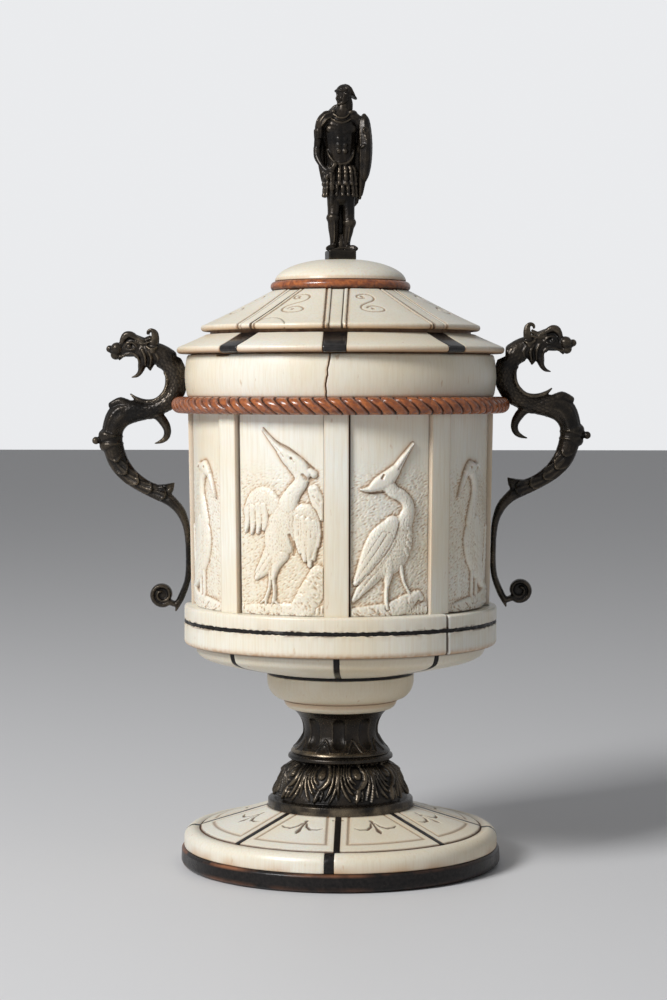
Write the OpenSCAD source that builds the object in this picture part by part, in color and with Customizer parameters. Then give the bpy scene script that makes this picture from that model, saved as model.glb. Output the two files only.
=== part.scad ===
// Covered cup: bone plates on a turned wooden core, bronze stem, dragon handles and soldier finial.
// The cup stands on z = 0 with its axis on z. The front looks along -y and the handles lie on x.

/* [Base and foot] */
// Radius of the ebonised base disc
base_r = 61.7; // [58:0.1:66]
// Height of the base disc
base_h = 7.1; // [6:0.1:10]
// Radius of the worn upper edge of the base disc
base_edge = 1.5; // [0.5:0.1:2.2]
// How far the base disc draws in underneath
base_under = 3.8; // [1:0.1:5]
// Ledge of the base disc outside the foot rim
foot_ledge = 1.1; // [0.5:0.1:2]
// Height of the bone foot rim
foot_rim_h = 7.1; // [6.5:0.1:9]
// Width of the bone foot rim
foot_rim_w = 6; // [5:0.1:8]
// Rounding of the foot rim
foot_rim_round = 4; // [2:0.1:4.8]
// Width of the ebony keys in the joints of the foot rim
foot_key_w = 3.4; // [2:0.1:5]
// Rise of the foot plates from the rim to the stem
foot_rise = 8.1; // [6:0.1:10]
// Thickness of the foot plates
foot_plate_t = 1.9; // [1.2:0.1:2.6]
// Width of the ebony fillets between the foot plates
foot_fillet_w = 2; // [1.2:0.1:3]

/* [Stem] */
// Radius of the bottom ring of the stem
stem_r = 28.1; // [25:0.1:31]
// Height of the leaf casting
stem_foot_h = 21.1; // [18:0.1:24]
// How far the leaves stand out of the casting
leaf_relief = 1.6; // [0.6:0.1:2.2]
// Radius of the wooden tenon inside the leaf casting
tenon_r = 11; // [8:0.5:13]
// Radius of the fluted neck at its top
neck_r = 18.2; // [16:0.1:21]
// Height of the fluted neck
neck_h = 16.4; // [14:0.1:20]
// Depth of the flutes
flute_d = 1.4; // [0.5:0.1:2]
// Radius of the turned bone knop
knop_r = 28.4; // [26:0.1:30]
// Height of the turned bone knop
knop_h = 13.8; // [12:0.1:16]
// Thickness of the dark washer over the knop
washer_t = 1.2; // [0.8:0.1:2]
// Radius of the iron tie rod
rod_r = 2; // [1.5:0.1:2.5]

/* [Cup body] */
// Outer radius of the turned wooden core
core_r = 54; // [51:0.5:57]
// Wall of the wooden core
core_wall = 5; // [4.4:0.1:6]
// Height of the plated underside of the cup
soffit_h = 10.7; // [9:0.1:12]
// How far the underside plates lie inside the base band
soffit_inset = 4.1; // [3.4:0.1:5]
// Thickness of the underside plates
soffit_t = 2; // [1.4:0.1:2.6]
// Width of the ebony fillets between the underside plates
soffit_fillet_w = 2; // [1.2:0.1:3]
// Height of the base band
band_h = 15.2; // [13:0.1:18]
// Thickness of the base band
band_t = 6.3; // [6:0.1:8]
// Rounding under the base band
band_round = 1.6; // [1:0.1:2.4]
// Height of the inlaid line in the base band
inlay_h = 1.2; // [0.6:0.1:2]
// Height of the carved panels
body_h = 73.5; // [66:0.5:84]
// Thickness of the plain strips at the top
strip_t = 4.7; // [4.2:0.1:5.2]
// Width of the plain strips
strip_w = 8.9; // [7:0.1:11]
// How far the strips and panels draw in towards the bottom
body_taper = 1.2; // [0:0.1:1.6]
// Depth of the panel ground below the strips
panel_sink = 1.9; // [1.2:0.1:2.2]
// Height of the carving above the panel ground
carving_h = 1.6; // [0.6:0.1:2]
// Height of the rope moulding
rope_h = 6.3; // [5:0.1:8]
// How far the rope moulding stands out of the core
rope_t = 11.3; // [9:0.1:13]
// Strands round the rope moulding
rope_strands = 80; // [60:1:84]
// Depth of the grooves between the strands
strand_d = 0.8; // [0.3:0.1:1.2]
// Height of the rim band
rim_h = 15.9; // [14:0.1:18]
// Thickness of the rim band at its fullest
rim_t = 5.9; // [5.4:0.1:7]
// Swell of the rim band over its edges
rim_swell = 0.9; // [0:0.1:1.5]

/* [Lid] */
// How far the lid stands out over the wooden core
lid_over = 9; // [8:0.1:11]
// Height of the lower tier of the lid
skirt_h = 7.4; // [6.5:0.1:9]
// Run of the lower tier's slope
skirt_run = 11.5; // [10.5:0.1:13]
// Thickness of the lower tier's lip
lip_t = 2; // [1.4:0.1:2.6]
// Width of the ebony blocks in the lower tier
block_w = 8.3; // [6:0.1:11]
// Thickness of the dark seat line under the lid
lid_seat_t = 0.5; // [0.3:0.1:1]
// Depth of the lid's spigot in the cup's mouth
spigot_h = 6; // [5:0.1:9]
// Gap between the two tiers of the lid
tier_gap = 1.2; // [0.6:0.1:2]
// How far the upper tier lies inside the lower one
roof_inset = 9.3; // [8:0.1:10]
// Height of the upper tier
roof_h = 15.3; // [13:0.1:18]
// Height of the upper tier's edge
roof_edge = 1.3; // [0.8:0.1:1.8]
// Thickness of the upper tier's plates
roof_t = 2; // [1.4:0.1:2.6]
// Width of the bone strips in the upper tier
roof_strip_w = 4.4; // [3:0.1:6]
// Radius of the wooden collar under the dome
collar_r = 26.9; // [25:0.1:30]
// Height of the wooden collar
collar_h = 3.8; // [3:0.1:5]
// Radius of the bone dome
dome_r = 25.2; // [23:0.1:26]
// Height of the bone dome
dome_h = 8.2; // [7:0.1:10]
// Height of the soldier with its plinth
figure_h = 68.4; // [60:0.1:76]

/* [Handles] */
// Height of the lower dowels of the handles above the base band
dowel_low = 19.8; // [17:0.1:23]
// Reach of a handle from the cup to its knob
handle_out = 39.2; // [35:0.1:44]
// Thickness of the handle bar at its fullest
handle_bar = 8.2; // [7:0.1:9.4]
// Width of the handle bar seen from its end
handle_depth = 7.4; // [6:0.1:9]
// How far the right handle sits above the mean and the left one below it
hand_fit = 1.1; // [0:0.1:1.5]
// Radius of the dowels cast on the handles
dowel_r = 1.2; // [0.8:0.1:1.6]

/* [Hidden] */
$fn = 96;

// Fits: glued curved seats, parts that slide, bores over rods, saw cuts and overruns
glue_gap = 0.08;
slide_gap = 0.3;
bore_gap = 0.4;
thread_gap = 0.05;
joint_gap = 0.25;
seat_gap = 0.1;
overrun = 1;

// How far the edge of a plate lies inside the piece that covers it
seat_lap = 0.4;

// Directions of the joints, in degrees from the front towards +x
body_turns = [0.5, 41.5, 90, 135, 180, 225, 270, 316];
foot_turns = [0.5, 46, 90, 135, 180, 225, 270, 317];
lid_turns = [0, 45, 90, 135, 180, 225, 270, 321];
rim_turns = [-2, 90, 180, 270];
band_turns = [43, 163, 283];

// Heights of the seats, from the table up
foot_z = base_h;
foot_top_z = foot_z + foot_rim_h;
stem_z = foot_top_z + foot_rise;
neck_z = stem_z + stem_foot_h;
knop_z = neck_z + neck_h;
washer_z = knop_z + knop_h;
soffit_z = washer_z + washer_t;
band_z = soffit_z + soffit_h;
body_z = band_z + band_h;
rope_z = body_z + body_h;
rim_z = rope_z + rope_h;
lid_z = rim_z + rim_h;
skirt_z = lid_z + lid_seat_t;
roof_z = skirt_z + skirt_h + tier_gap;
collar_z = roof_z + roof_h;
dome_z = collar_z + collar_h;
figure_z = dome_z + dome_h;

// Radii that follow from the driving ones
foot_r = base_r - foot_ledge;
foot_plate_r = foot_r - foot_rim_w;
tray_r = core_r + glue_gap;
soffit_hub_r = knop_r + slide_gap;
band_r = core_r + band_t;
strip_r = core_r + strip_t;
panel_r = strip_r - panel_sink;
rope_r = core_r + rope_t;
rim_r = core_r + rim_t;
mouth_r = core_r - core_wall;
lid_r = core_r + lid_over;
roof_r = lid_r - roof_inset;
bore_r = rod_r + bore_gap;

// Nuts, stud and floor inside the cup
nut_h = 2.8;
nut_r = 4.4;
nut_room = 1.3;
rod_end = 0.6;
floor_t = 12.4;
floor_disc_t = 2.5;
stud_r = 1.5;
dowel_in = 3.4;

// Point on a circle round the axis, and the points of an arc in a section
function on_ring(r, turn, z) = [r * cos(turn), r * sin(turn), z];
function polar_arc(centre, rx, ry, from, to, steps) =
    [for (i = [0:steps]) let (a = from + (to - from) * i / steps) centre + [rx * cos(a), ry * sin(a)]];

// Cubic through the points p, with the given steps between two points
function smooth_step(p, i, t) = let (n = len(p) - 1, a = p[max(i - 1, 0)], b = p[i],
    c = p[min(i + 1, n)], d = p[min(i + 2, n)])
    b + (c - a) * t / 2 + (a * 2 - b * 5 + c * 4 - d) * t * t / 2 + (b * 3 - a - c * 3 + d) * t * t * t / 2;
function smooth_path(p, steps) = [for (i = [0:len(p) - 2], k = [0:steps - 1]) smooth_step(p, i, k / steps),
    p[len(p) - 1]];

// Outline of a stroke through points [x, y, half width]
function stroke_side(p, side) = let (n = len(p) - 1) [for (i = [0:n])
    let (a = p[max(i - 1, 0)], b = p[min(i + 1, n)], d = [b[0] - a[0], b[1] - a[1]], u = d / norm(d))
    [p[i][0] - side * u[1] * p[i][2], p[i][1] + side * u[0] * p[i][2]]];
function stroke(p) = let (right = stroke_side(p, -1), n = len(p) - 1)
    concat(stroke_side(p, 1), [for (i = [n:-1:0]) right[i]]);

// Turned ring with the given outline of [radius, height] points
module turned(outline) rotate_extrude() polygon(outline);

// Part of a turned ring between two directions
module sector(outline, from, to) rotate([0, 0, from - 90])
    rotate_extrude(angle = to - from) polygon(outline);

// Parallel-sided radial cutter in one direction
module slot(turn, w, reach, z, h) rotate([0, 0, turn - 90]) translate([0, -w / 2, z]) cube([reach, w, h]);

// Plate number i of a turned ring that strips of width w divide at the given directions
module plate(outline, turns, i, w, reach, z, h) {
    to = i < len(turns) - 1 ? turns[i + 1] : turns[0] + 360;
    difference() {
        sector(outline, turns[i], to);
        slot(turns[i], w, reach + overrun, z - overrun, h + overrun * 2);
        slot(to, w, reach + overrun, z - overrun, h + overrun * 2);
    }
}

// Strip of width w cut from a turned ring
module strip(outline, turn, w, reach, z, h) intersection() {
    turned(outline);
    slot(turn, w, reach + overrun, z - overrun, h + overrun * 2);
}

// Solid skin round a closed row of section loops
module loop_ring(loops) {
    n = len(loops);
    m = len(loops[0]);
    polyhedron(points = [for (l = loops, p = l) p], faces = [for (k = [0:n - 1], j = [0:m - 1])
        let (a = k * m + j, b = k * m + (j + 1) % m, c = ((k + 1) % n) * m + (j + 1) % m,
            d = ((k + 1) % n) * m + j) each [[a, b, c], [a, c, d]]]);
}

// Oval bar along points [out, up, thickness, depth] in the x-z plane
bar_sides = 8;
module bar(p) {
    n = len(p);
    rings = [for (i = [0:n - 1]) let (a = p[max(i - 1, 0)], b = p[min(i + 1, n - 1)],
        d = [b[0] - a[0], b[1] - a[1]], u = d / norm(d)) [for (k = [0:bar_sides - 1])
        let (t = (k + 0.5) * 360 / bar_sides, w = p[i][2] * cos(t) / 2)
        [p[i][0] - u[1] * w, p[i][3] * sin(t) / 2, p[i][1] + u[0] * w]]];
    polyhedron(points = [for (r = rings, q = r) q], faces = concat(
        [for (k = [0:n - 2], j = [0:bar_sides - 1]) let (a = k * bar_sides + j,
            b = k * bar_sides + (j + 1) % bar_sides, c = b + bar_sides, d = a + bar_sides)
            each [[a, b, c], [a, c, d]]],
        [[for (j = [bar_sides - 1:-1:0]) j]],
        [[for (j = [0:bar_sides - 1]) (n - 1) * bar_sides + j]]));
}

// Base disc with its pocket for the lower nut
nut_pocket = nut_h + nut_room;
module base_disc() color("#201a17") difference() {
    turned(concat([[0, 0]],
        polar_arc([base_r - base_under, base_under / 2], base_under, base_under / 2, -90, 0, 6),
        polar_arc([base_r - base_edge, base_h - base_edge], base_edge, base_edge, 0, 90, 5),
        [[0, base_h]]));
    translate([0, 0, -overrun]) cylinder(r = bore_r, h = base_h + overrun * 2);
    translate([0, 0, -overrun]) cylinder(r = nut_r + nut_room, h = nut_pocket + overrun);
}

// Wooden cone that carries the foot plates, with the tenon that centres the leaf casting
module foot_core() color("#8a6238") difference() {
    turned([[0, foot_z], [foot_plate_r - glue_gap, foot_z],
        [foot_plate_r - glue_gap, foot_top_z - foot_plate_t - glue_gap],
        [stem_r - glue_gap, stem_z - foot_plate_t - glue_gap], [stem_r - glue_gap, stem_z],
        [tenon_r, stem_z], [tenon_r, neck_z - slide_gap], [0, neck_z - slide_gap]]);
    translate([0, 0, foot_z - overrun]) cylinder(r = bore_r, h = neck_z - foot_z + overrun);
}

// Bone ring in four lengths with an ebony key in each joint
foot_rim_fall = foot_rim_round / 8;
foot_rim_outline = concat([[foot_plate_r, foot_z], [foot_r, foot_z]],
    polar_arc([foot_r - foot_rim_round, foot_top_z - foot_rim_round],
        foot_rim_round, foot_rim_round, 0, 90, 6),
    [[foot_plate_r, foot_top_z - foot_rim_fall]]);
module foot_rim(i) color("#e9dfc4") plate(foot_rim_outline, rim_turns, i, foot_key_w + joint_gap,
    foot_r, foot_z, foot_rim_h);
module foot_rim_keys() color("#201a17") for (t = rim_turns)
    strip(foot_rim_outline, t, foot_key_w, foot_r, foot_z, foot_rim_h);

// Sloped bone plates with an ebony fillet in each joint
foot_plate_outline = [[stem_r + glue_gap, stem_z - foot_plate_t],
    [foot_plate_r - glue_gap, foot_top_z - foot_plate_t], [foot_plate_r - glue_gap, foot_top_z],
    [stem_r + glue_gap, stem_z]];
module foot_plate(i) color("#efe7d2") plate(foot_plate_outline, foot_turns, i, foot_fillet_w + joint_gap,
    foot_plate_r, foot_top_z - foot_plate_t, foot_rise + foot_plate_t);
module foot_fillets() color("#201a17") for (t = foot_turns)
    strip(foot_plate_outline, t, foot_fillet_w, foot_plate_r, foot_top_z - foot_plate_t,
        foot_rise + foot_plate_t);

// Leaf casting: shares of radius, height and leaf relief from the bottom ring to the top bead
stem_foot_shares = [[1, 0, 0], [1, 0.15, 0], [0.97, 0.175, 0.2], [0.985, 0.24, 0.7], [0.92, 0.34, 0.9],
    [0.865, 0.5, 1], [0.81, 0.64, 0.9], [0.715, 0.77, 0.5], [0.675, 0.83, 0], [0.71, 0.865, 0],
    [0.71, 0.955, 0], [0.685, 1, 0]];
leaf_count = 10;
leaf_shares = [-1, -0.2, 0.6, 1, 0.5, 1, 0.6, -0.2];
module stem_foot() color("#3b2d1f") {
    steps = len(leaf_shares);
    bore = tenon_r + slide_gap;
    loop_ring([for (k = [0:leaf_count * steps - 1]) let (turn = k * 360 / (leaf_count * steps),
        sunk = leaf_relief * (1 - leaf_shares[k % steps]) / 2)
        concat([for (s = stem_foot_shares)
            on_ring(stem_r * s[0] - sunk * s[2], turn, stem_z + stem_foot_h * s[1])],
            [for (z = [neck_z, stem_z]) on_ring(bore, turn, z)])]);
}

// Fluted neck: shares of radius, height and flute depth from bottom to top
stem_neck_shares = [[1.055, 0, 0], [1.02, 0.06, 0.1], [0.955, 0.135, 0.7], [0.863, 0.25, 1],
    [0.797, 0.5, 1], [0.813, 0.65, 1], [0.863, 0.81, 0.9], [0.95, 0.94, 0.3], [1, 1, 0]];
flute_count = 9;
flute_shares = [0, 0.45, 0.9, 1, 0.9, 0.45, 0];
module stem_neck() color("#3b2d1f") {
    steps = len(flute_shares);
    loop_ring([for (k = [0:flute_count * steps - 1]) let (turn = k * 360 / (flute_count * steps),
        sunk = flute_d * flute_shares[k % steps])
        concat([for (s = stem_neck_shares)
            on_ring(neck_r * s[0] - sunk * s[2], turn, neck_z + neck_h * s[1])],
            [for (z = [knop_z, neck_z]) on_ring(bore_r, turn, z)])]);
}

// Knop: a small quarter round, a step and a large quarter round under a straight edge
knop_low_share = 0.25;
knop_edge_share = 0.15;
knop_step_share = 0.79;
knop_reveal_share = 0.042;
module knop() color("#ece2c8") {
    low = knop_h * knop_low_share;
    reveal = knop_h * knop_reveal_share;
    step_r = knop_r * knop_step_share;
    high_z = washer_z - knop_h * knop_edge_share;
    difference() {
        turned(concat([[0, knop_z]],
            polar_arc([neck_r, knop_z + low], step_r - neck_r - reveal, low, -90, 0, 6),
            polar_arc([step_r, high_z], knop_r - step_r, high_z - knop_z - low - reveal, -90, 0, 9),
            [[knop_r, washer_z], [0, washer_z]]));
        translate([0, 0, knop_z - overrun]) cylinder(r = bore_r, h = knop_h + overrun * 2);
    }
}

module knop_washer() color("#201a17") translate([0, 0, washer_z]) difference() {
    cylinder(r = knop_r, h = washer_t);
    translate([0, 0, -overrun]) cylinder(r = bore_r, h = washer_t + overrun * 2);
}

// Iron rod that ties foot, stem and cup together, with a nut at each end
module tie_rod() color("#565656") translate([0, 0, rod_end])
    cylinder(r = rod_r, h = soffit_z + floor_t - rod_end * 2);
module nut(z, inner) translate([0, 0, z]) difference() {
    cylinder(r = nut_r, h = nut_h, $fn = 6);
    translate([0, 0, -overrun]) cylinder(r = inner + thread_gap, h = nut_h + overrun * 2);
}
module tie_nuts() color("#565656") {
    nut(nut_room, rod_r);
    nut(soffit_z + floor_t - nut_pocket, rod_r);
}

// Underside of the cup: shares of the run from the washer to the band and of the height
soffit_shares = [[0, 0], [0.447, 0.224], [0.749, 0.402], [0.891, 0.533], [0.967, 0.692], [1, 1]];
soffit_r = band_r - soffit_inset;
function soffit_curve(t) = [for (s = soffit_shares)
    [soffit_hub_r + (soffit_r - soffit_hub_r - t) * s[0], soffit_z + (soffit_h - t) * s[1] + t]];
soffit_outline = concat(soffit_curve(0), [for (i = [len(soffit_shares) - 1:-1:0]) soffit_curve(soffit_t)[i]]);
module soffit_plates() color("#ece2c8") for (i = [0:len(body_turns) - 1])
    plate(soffit_outline, body_turns, i, soffit_fillet_w + joint_gap, soffit_r, soffit_z, soffit_h);
module soffit_fillets() color("#201a17") for (t = body_turns)
    strip(soffit_outline, t, soffit_fillet_w, soffit_r, soffit_z, soffit_h);

// Base band with the groove that takes the dark inlay, at a share of its height
inlay_share = 0.56;
inlay_z = band_z + band_h * inlay_share;
inlay_d = 1;
band_outline = concat([[tray_r, band_z]],
    polar_arc([band_r - band_round, band_z + band_round], band_round, band_round, -90, 0, 6),
    [[band_r, inlay_z], [band_r - inlay_d, inlay_z], [band_r - inlay_d, inlay_z + inlay_h],
    [band_r, inlay_z + inlay_h], [band_r, body_z - inlay_d], [band_r - inlay_d, body_z],
    [tray_r, body_z]]);
module base_band(i) color("#ece2c8")
    plate(band_outline, band_turns, i, joint_gap, band_r, band_z, band_h);
module band_inlay() color("#201a17") {
    in_r = band_r - inlay_d + glue_gap;
    out_r = band_r - inlay_d / 3;
    turned([[in_r, inlay_z], [out_r, inlay_z], [out_r, inlay_z + inlay_h], [in_r, inlay_z + inlay_h]]);
}

// Turned wooden cup that carries every plate
module cup_core() color("#8a6238") difference() {
    turned(concat([[0, soffit_z], [soffit_hub_r - glue_gap, soffit_z]],
        [for (p = soffit_curve(soffit_t)) [min(p[0], core_r) - glue_gap, p[1] + glue_gap]],
        [[core_r, band_z + glue_gap], [core_r, lid_z], [mouth_r, lid_z], [mouth_r, soffit_z + floor_t],
        [0, soffit_z + floor_t]]));
    translate([0, 0, soffit_z - overrun]) cylinder(r = bore_r, h = floor_t + overrun * 2);
    translate([0, 0, soffit_z + floor_t - nut_pocket])
        cylinder(r = nut_r + nut_room, h = nut_pocket + overrun);
    dowel_bores();
}
module cup_floor() color("#6d4a2a") translate([0, 0, soffit_z + floor_t])
    cylinder(r = mouth_r - slide_gap, h = floor_disc_t);

// Proud plain strips and sunk carved panels, both a little smaller at the bottom
function wall_outline(r) = [[tray_r, body_z], [r - body_taper, body_z], [r, rope_z], [tray_r, rope_z]];
module body_strip(i) color("#ece2c8") difference() {
    strip(wall_outline(strip_r), body_turns[i], strip_w, strip_r, body_z, body_h);
    dowel_bores();
}

// Two carvings of a wading bird among reeds: points [across, up, half width] as shares of the panel's size
standing_shares = [
    [[-0.34, 0.16, 0.01], [-0.26, 0.22, 0.07], [-0.1, 0.36, 0.15], [0.08, 0.47, 0.13], [0.15, 0.53, 0.06]],
    [[0.14, 0.48, 0.06], [0.25, 0.57, 0.055], [0.17, 0.64, 0.045], [-0.02, 0.64, 0.05], [-0.12, 0.68, 0.06]],
    [[-0.18, 0.65, 0.02], [-0.08, 0.69, 0.065], [0.04, 0.75, 0.045], [0.17, 0.83, 0.022], [0.3, 0.9, 0.008]]];
standing_low_shares = [
    [[-0.02, 0.32, 0.06], [-0.01, 0.24, 0.03], [0.0, 0.1, 0.018], [0.03, 0.03, 0.03]],
    [[0.08, 0.34, 0.06], [0.11, 0.24, 0.028], [0.09, 0.1, 0.018], [0.12, 0.03, 0.03]],
    [[0.4, 0.02, 0.02], [0.36, 0.3, 0.025], [0.42, 0.62, 0.006]],
    [[0.3, 0.02, 0.02], [0.31, 0.2, 0.02], [0.24, 0.42, 0.006]],
    [[-0.4, 0.02, 0.02], [-0.38, 0.34, 0.02], [-0.3, 0.6, 0.006]]];
flying_shares = [
    [[-0.26, 0.2, 0.01], [-0.18, 0.27, 0.09], [-0.06, 0.4, 0.15], [0.06, 0.52, 0.14], [0.1, 0.6, 0.07]],
    [[0.07, 0.56, 0.07], [0.2, 0.66, 0.055], [0.24, 0.74, 0.05], [0.16, 0.8, 0.055]],
    [[0.24, 0.75, 0.03], [0.12, 0.8, 0.065], [0.0, 0.86, 0.035], [-0.18, 0.94, 0.008]]];
flying_low_shares = [
    [[0.06, 0.56, 0.05], [0.2, 0.535, 0.06], [0.33, 0.52, 0.04]],
    [[0.15, 0.53, 0.045], [0.2, 0.41, 0.05], [0.2, 0.28, 0.012]],
    [[0.23, 0.53, 0.045], [0.29, 0.4, 0.045], [0.29, 0.27, 0.012]],
    [[0.31, 0.52, 0.04], [0.37, 0.42, 0.04], [0.37, 0.32, 0.012]],
    [[-0.02, 0.53, 0.05], [-0.16, 0.565, 0.05], [-0.3, 0.57, 0.035]],
    [[-0.14, 0.56, 0.035], [-0.2, 0.48, 0.04], [-0.22, 0.4, 0.012]],
    [[-0.22, 0.57, 0.035], [-0.28, 0.49, 0.04], [-0.3, 0.42, 0.012]],
    [[-0.3, 0.57, 0.03], [-0.36, 0.5, 0.035], [-0.38, 0.43, 0.01]],
    [[-0.06, 0.34, 0.07], [-0.1, 0.22, 0.03], [-0.14, 0.1, 0.016], [-0.2, 0.06, 0.02]],
    [[0.02, 0.36, 0.07], [0.04, 0.24, 0.03], [-0.02, 0.1, 0.016], [-0.08, 0.04, 0.02]],
    [[0.38, 0.02, 0.02], [0.34, 0.14, 0.03], [0.4, 0.26, 0.008]]];
stroke_steps = 3;

// Strokes laid on panel i and cut off at the given height over its ground
module carving(i, strokes, h, mirrored) {
    from = body_turns[i];
    to = i < len(body_turns) - 1 ? body_turns[i + 1] : body_turns[0] + 360;
    w = panel_r * sin((to - from) / 2) * 2 - strip_w;
    intersection() {
        rotate([0, 0, (from + to) / 2 - 90]) translate([0, 0, body_z]) rotate([90, 0, 90])
            linear_extrude(strip_r) for (s = strokes) polygon(stroke(smooth_path(
                [for (p = s) [p[0] * w * mirrored, p[1] * body_h, p[2] * w * mirrored]], stroke_steps)));
        sector([[panel_r - body_taper - h / 2, body_z], [panel_r - body_taper + h, body_z],
            [panel_r + h, rope_z], [panel_r - h / 2, rope_z]], from, to);
    }
}
module relief_panel(i) color("#f0e9d8") {
    flying = i % 2 == 1;
    mirrored = i % 4 < 2 ? 1 : -1;
    plate(wall_outline(panel_r), body_turns, i, strip_w + joint_gap, strip_r, body_z, body_h);
    carving(i, flying ? flying_shares : standing_shares, carving_h, mirrored);
    carving(i, flying ? flying_low_shares : standing_low_shares, carving_h / 2, mirrored);
}

// Rope moulding: slanted sections, in turn on a strand and in a groove
rope_slant = 5.5;
rope_arc_steps = 5;
function rope_section(turn, cut) = let (half = rope_h / 2,
    in_r = tray_r / cos(rope_slant / 2 + 90 / rope_strands))
    concat([for (j = [0:rope_arc_steps]) let (s = j / rope_arc_steps, t = s * 180 - 90,
        up = half - cut * cos(t) / 2)
        on_ring(rope_r - half + (half - cut) * cos(t), turn - rope_slant * s, rim_z - half + up * sin(t))],
        [for (s = [1, 0]) on_ring(in_r, turn - rope_slant * s, rope_z + rope_h * s)]);
module rope_moulding() color("#8a4226")
    loop_ring([for (k = [0:rope_strands * 2 - 1]) rope_section(k * 180 / rope_strands, k % 2 * strand_d)]);

// Rim band with its slight swell: radius at the share t of its height
rim_steps = 9;
function rim_r_at(t) = rim_r - rim_swell + rim_swell * sin(180 * t);
module rim_band() color("#ece2c8") difference() {
    turned(concat([[tray_r, rim_z]],
        [for (i = [0:rim_steps]) [rim_r_at(i / rim_steps), rim_z + rim_h * i / rim_steps]],
        [[tray_r, lid_z]]));
    dowel_bores();
}

// Handle points: share of the reach out of the cup's face and share of the height above the tail
seat_low_share = 0.2;
seat_high_share = 0.83;
seat_span_share = seat_high_share - seat_low_share;
dowel_low_z = body_z + dowel_low;
dowel_high_z = rim_z + rim_h / 2;
handle_h = (dowel_high_z - dowel_low_z) / seat_span_share;
handle_z = dowel_low_z - seat_low_share * handle_h;
seat_low_r = strip_r - body_taper * (1 - dowel_low / body_h);
seat_lean = (rim_r - seat_low_r) / seat_span_share;
function out_at(u, v) = seat_low_r + seat_lean * (v - seat_low_share) + u * handle_out;
function place(s) = [out_at(s[0], s[1]), handle_z + s[1] * handle_h, s[2] * handle_bar,
    s[3] * handle_depth];
function route(shares, steps) = smooth_path([for (s = shares) place(s)], steps);

// Neck, shoulder, lower limb and tail: [out, up, thickness, width] shares
limb_shares = [[0.38, 0.92, 0.85, 0.9], [0.25, 0.915, 1, 1], [0.155, 0.892, 0.94, 1],
    [0.093, 0.863, 0.88, 0.98], [0.075, 0.83, 0.8, 0.95], [0.088, 0.798, 0.79, 0.92],
    [0.137, 0.766, 0.78, 0.9], [0.22, 0.739, 0.7, 0.88], [0.337, 0.722, 0.62, 0.88],
    [0.456, 0.72, 0.66, 0.9], [0.564, 0.716, 0.9, 0.95], [0.657, 0.705, 1.08, 1],
    [0.711, 0.674, 1.05, 1], [0.737, 0.638, 0.98, 1], [0.75, 0.606, 0.98, 1], [0.736, 0.574, 0.93, 0.98],
    [0.698, 0.534, 0.92, 0.95], [0.618, 0.491, 0.87, 0.9], [0.507, 0.456, 0.72, 0.85],
    [0.382, 0.429, 0.6, 0.8], [0.255, 0.408, 0.54, 0.75], [0.169, 0.386, 0.51, 0.72],
    [0.097, 0.356, 0.48, 0.7], [0.05, 0.316, 0.38, 0.68], [0.03, 0.277, 0.24, 0.66],
    [0.024, 0.234, 0.24, 0.66], [0.022, 0.191, 0.27, 0.66], [0.026, 0.145, 0.27, 0.66],
    [0.041, 0.106, 0.28, 0.66], [0.077, 0.073, 0.3, 0.66], [0.138, 0.045, 0.34, 0.66]];
// Crescent leaf inside the upper bend, and the lower jaw
crescent_shares = [[0.477, 0.695, 0.3, 0.6], [0.36, 0.7, 0.38, 0.62], [0.262, 0.691, 0.45, 0.62],
    [0.206, 0.668, 0.42, 0.6], [0.193, 0.645, 0.38, 0.55], [0.208, 0.624, 0.34, 0.48],
    [0.253, 0.606, 0.26, 0.38],
    [0.313, 0.598, 0.08, 0.14]];
jaw_shares = [[0.36, 0.9, 0.6, 0.62], [0.415, 0.875, 0.4, 0.5], [0.444, 0.856, 0.24, 0.4],
    [0.485, 0.843, 0.16, 0.3],
    [0.53, 0.836, 0.06, 0.12]];
// Ring at the outer end of the bend
collar_shares = [[0.742, 0.636, 1.06, 1.08], [0.744, 0.628, 1.18, 1.2], [0.75, 0.616, 1.1, 1.12],
    [0.75, 0.604, 1.1, 1.12], [0.75, 0.59, 1.18, 1.2], [0.748, 0.582, 1.06, 1.08]];

// Head and leaves: pairs of balls [out, up, radius as a share of the bar, sideways as a share of the width]
head_shares = [
    [[0.35, 0.92, 0.56, 0], [0.5, 0.93, 0.5, 0]], [[0.5, 0.932, 0.45, 0], [0.68, 0.935, 0.3, 0]],
    [[0.67, 0.936, 0.33, 0.12], [0.68, 0.925, 0.3, -0.12]],
    [[0.7, 0.935, 0.22, 0], [0.75, 0.934, 0.14, 0]],
    [[0.56, 0.97, 0.25, 0.25], [0.5, 0.95, 0.32, 0.2]],
    [[0.56, 0.97, 0.25, -0.25], [0.5, 0.95, 0.32, -0.2]],
    [[0.56, 0.966, 0.22, 0], [0.43, 0.955, 0.24, 0]], [[0.43, 0.955, 0.24, 0], [0.33, 0.976, 0.2, 0]],
    [[0.32, 0.983, 0.2, 0.24], [0.35, 0.95, 0.26, 0.22]],
    [[0.32, 0.983, 0.2, -0.24], [0.35, 0.95, 0.26, -0.22]],
    [[0.38, 0.906, 0.42, 0], [0.37, 0.885, 0.26, 0]], [[0.37, 0.885, 0.26, 0], [0.345, 0.862, 0.05, 0]],
    [[0.6, 0.92, 0.22, 0], [0.655, 0.9, 0.06, 0]], [[0.47, 0.74, 0.2, 0], [0.54, 0.768, 0.05, 0]],
    [[0.24, 0.425, 0.26, 0], [0.14, 0.456, 0.06, 0]],
    [[0.11, 0.04, 0.16, 0], [0.172, 0.004, 0.06, 0]],
    [[0.84, 0.609, 0.2, 0], [0.93, 0.609, 0.12, 0]],
    [[0.955, 0.609, 0.19, 0], [0.96, 0.609, 0.19, 0]]];
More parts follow.
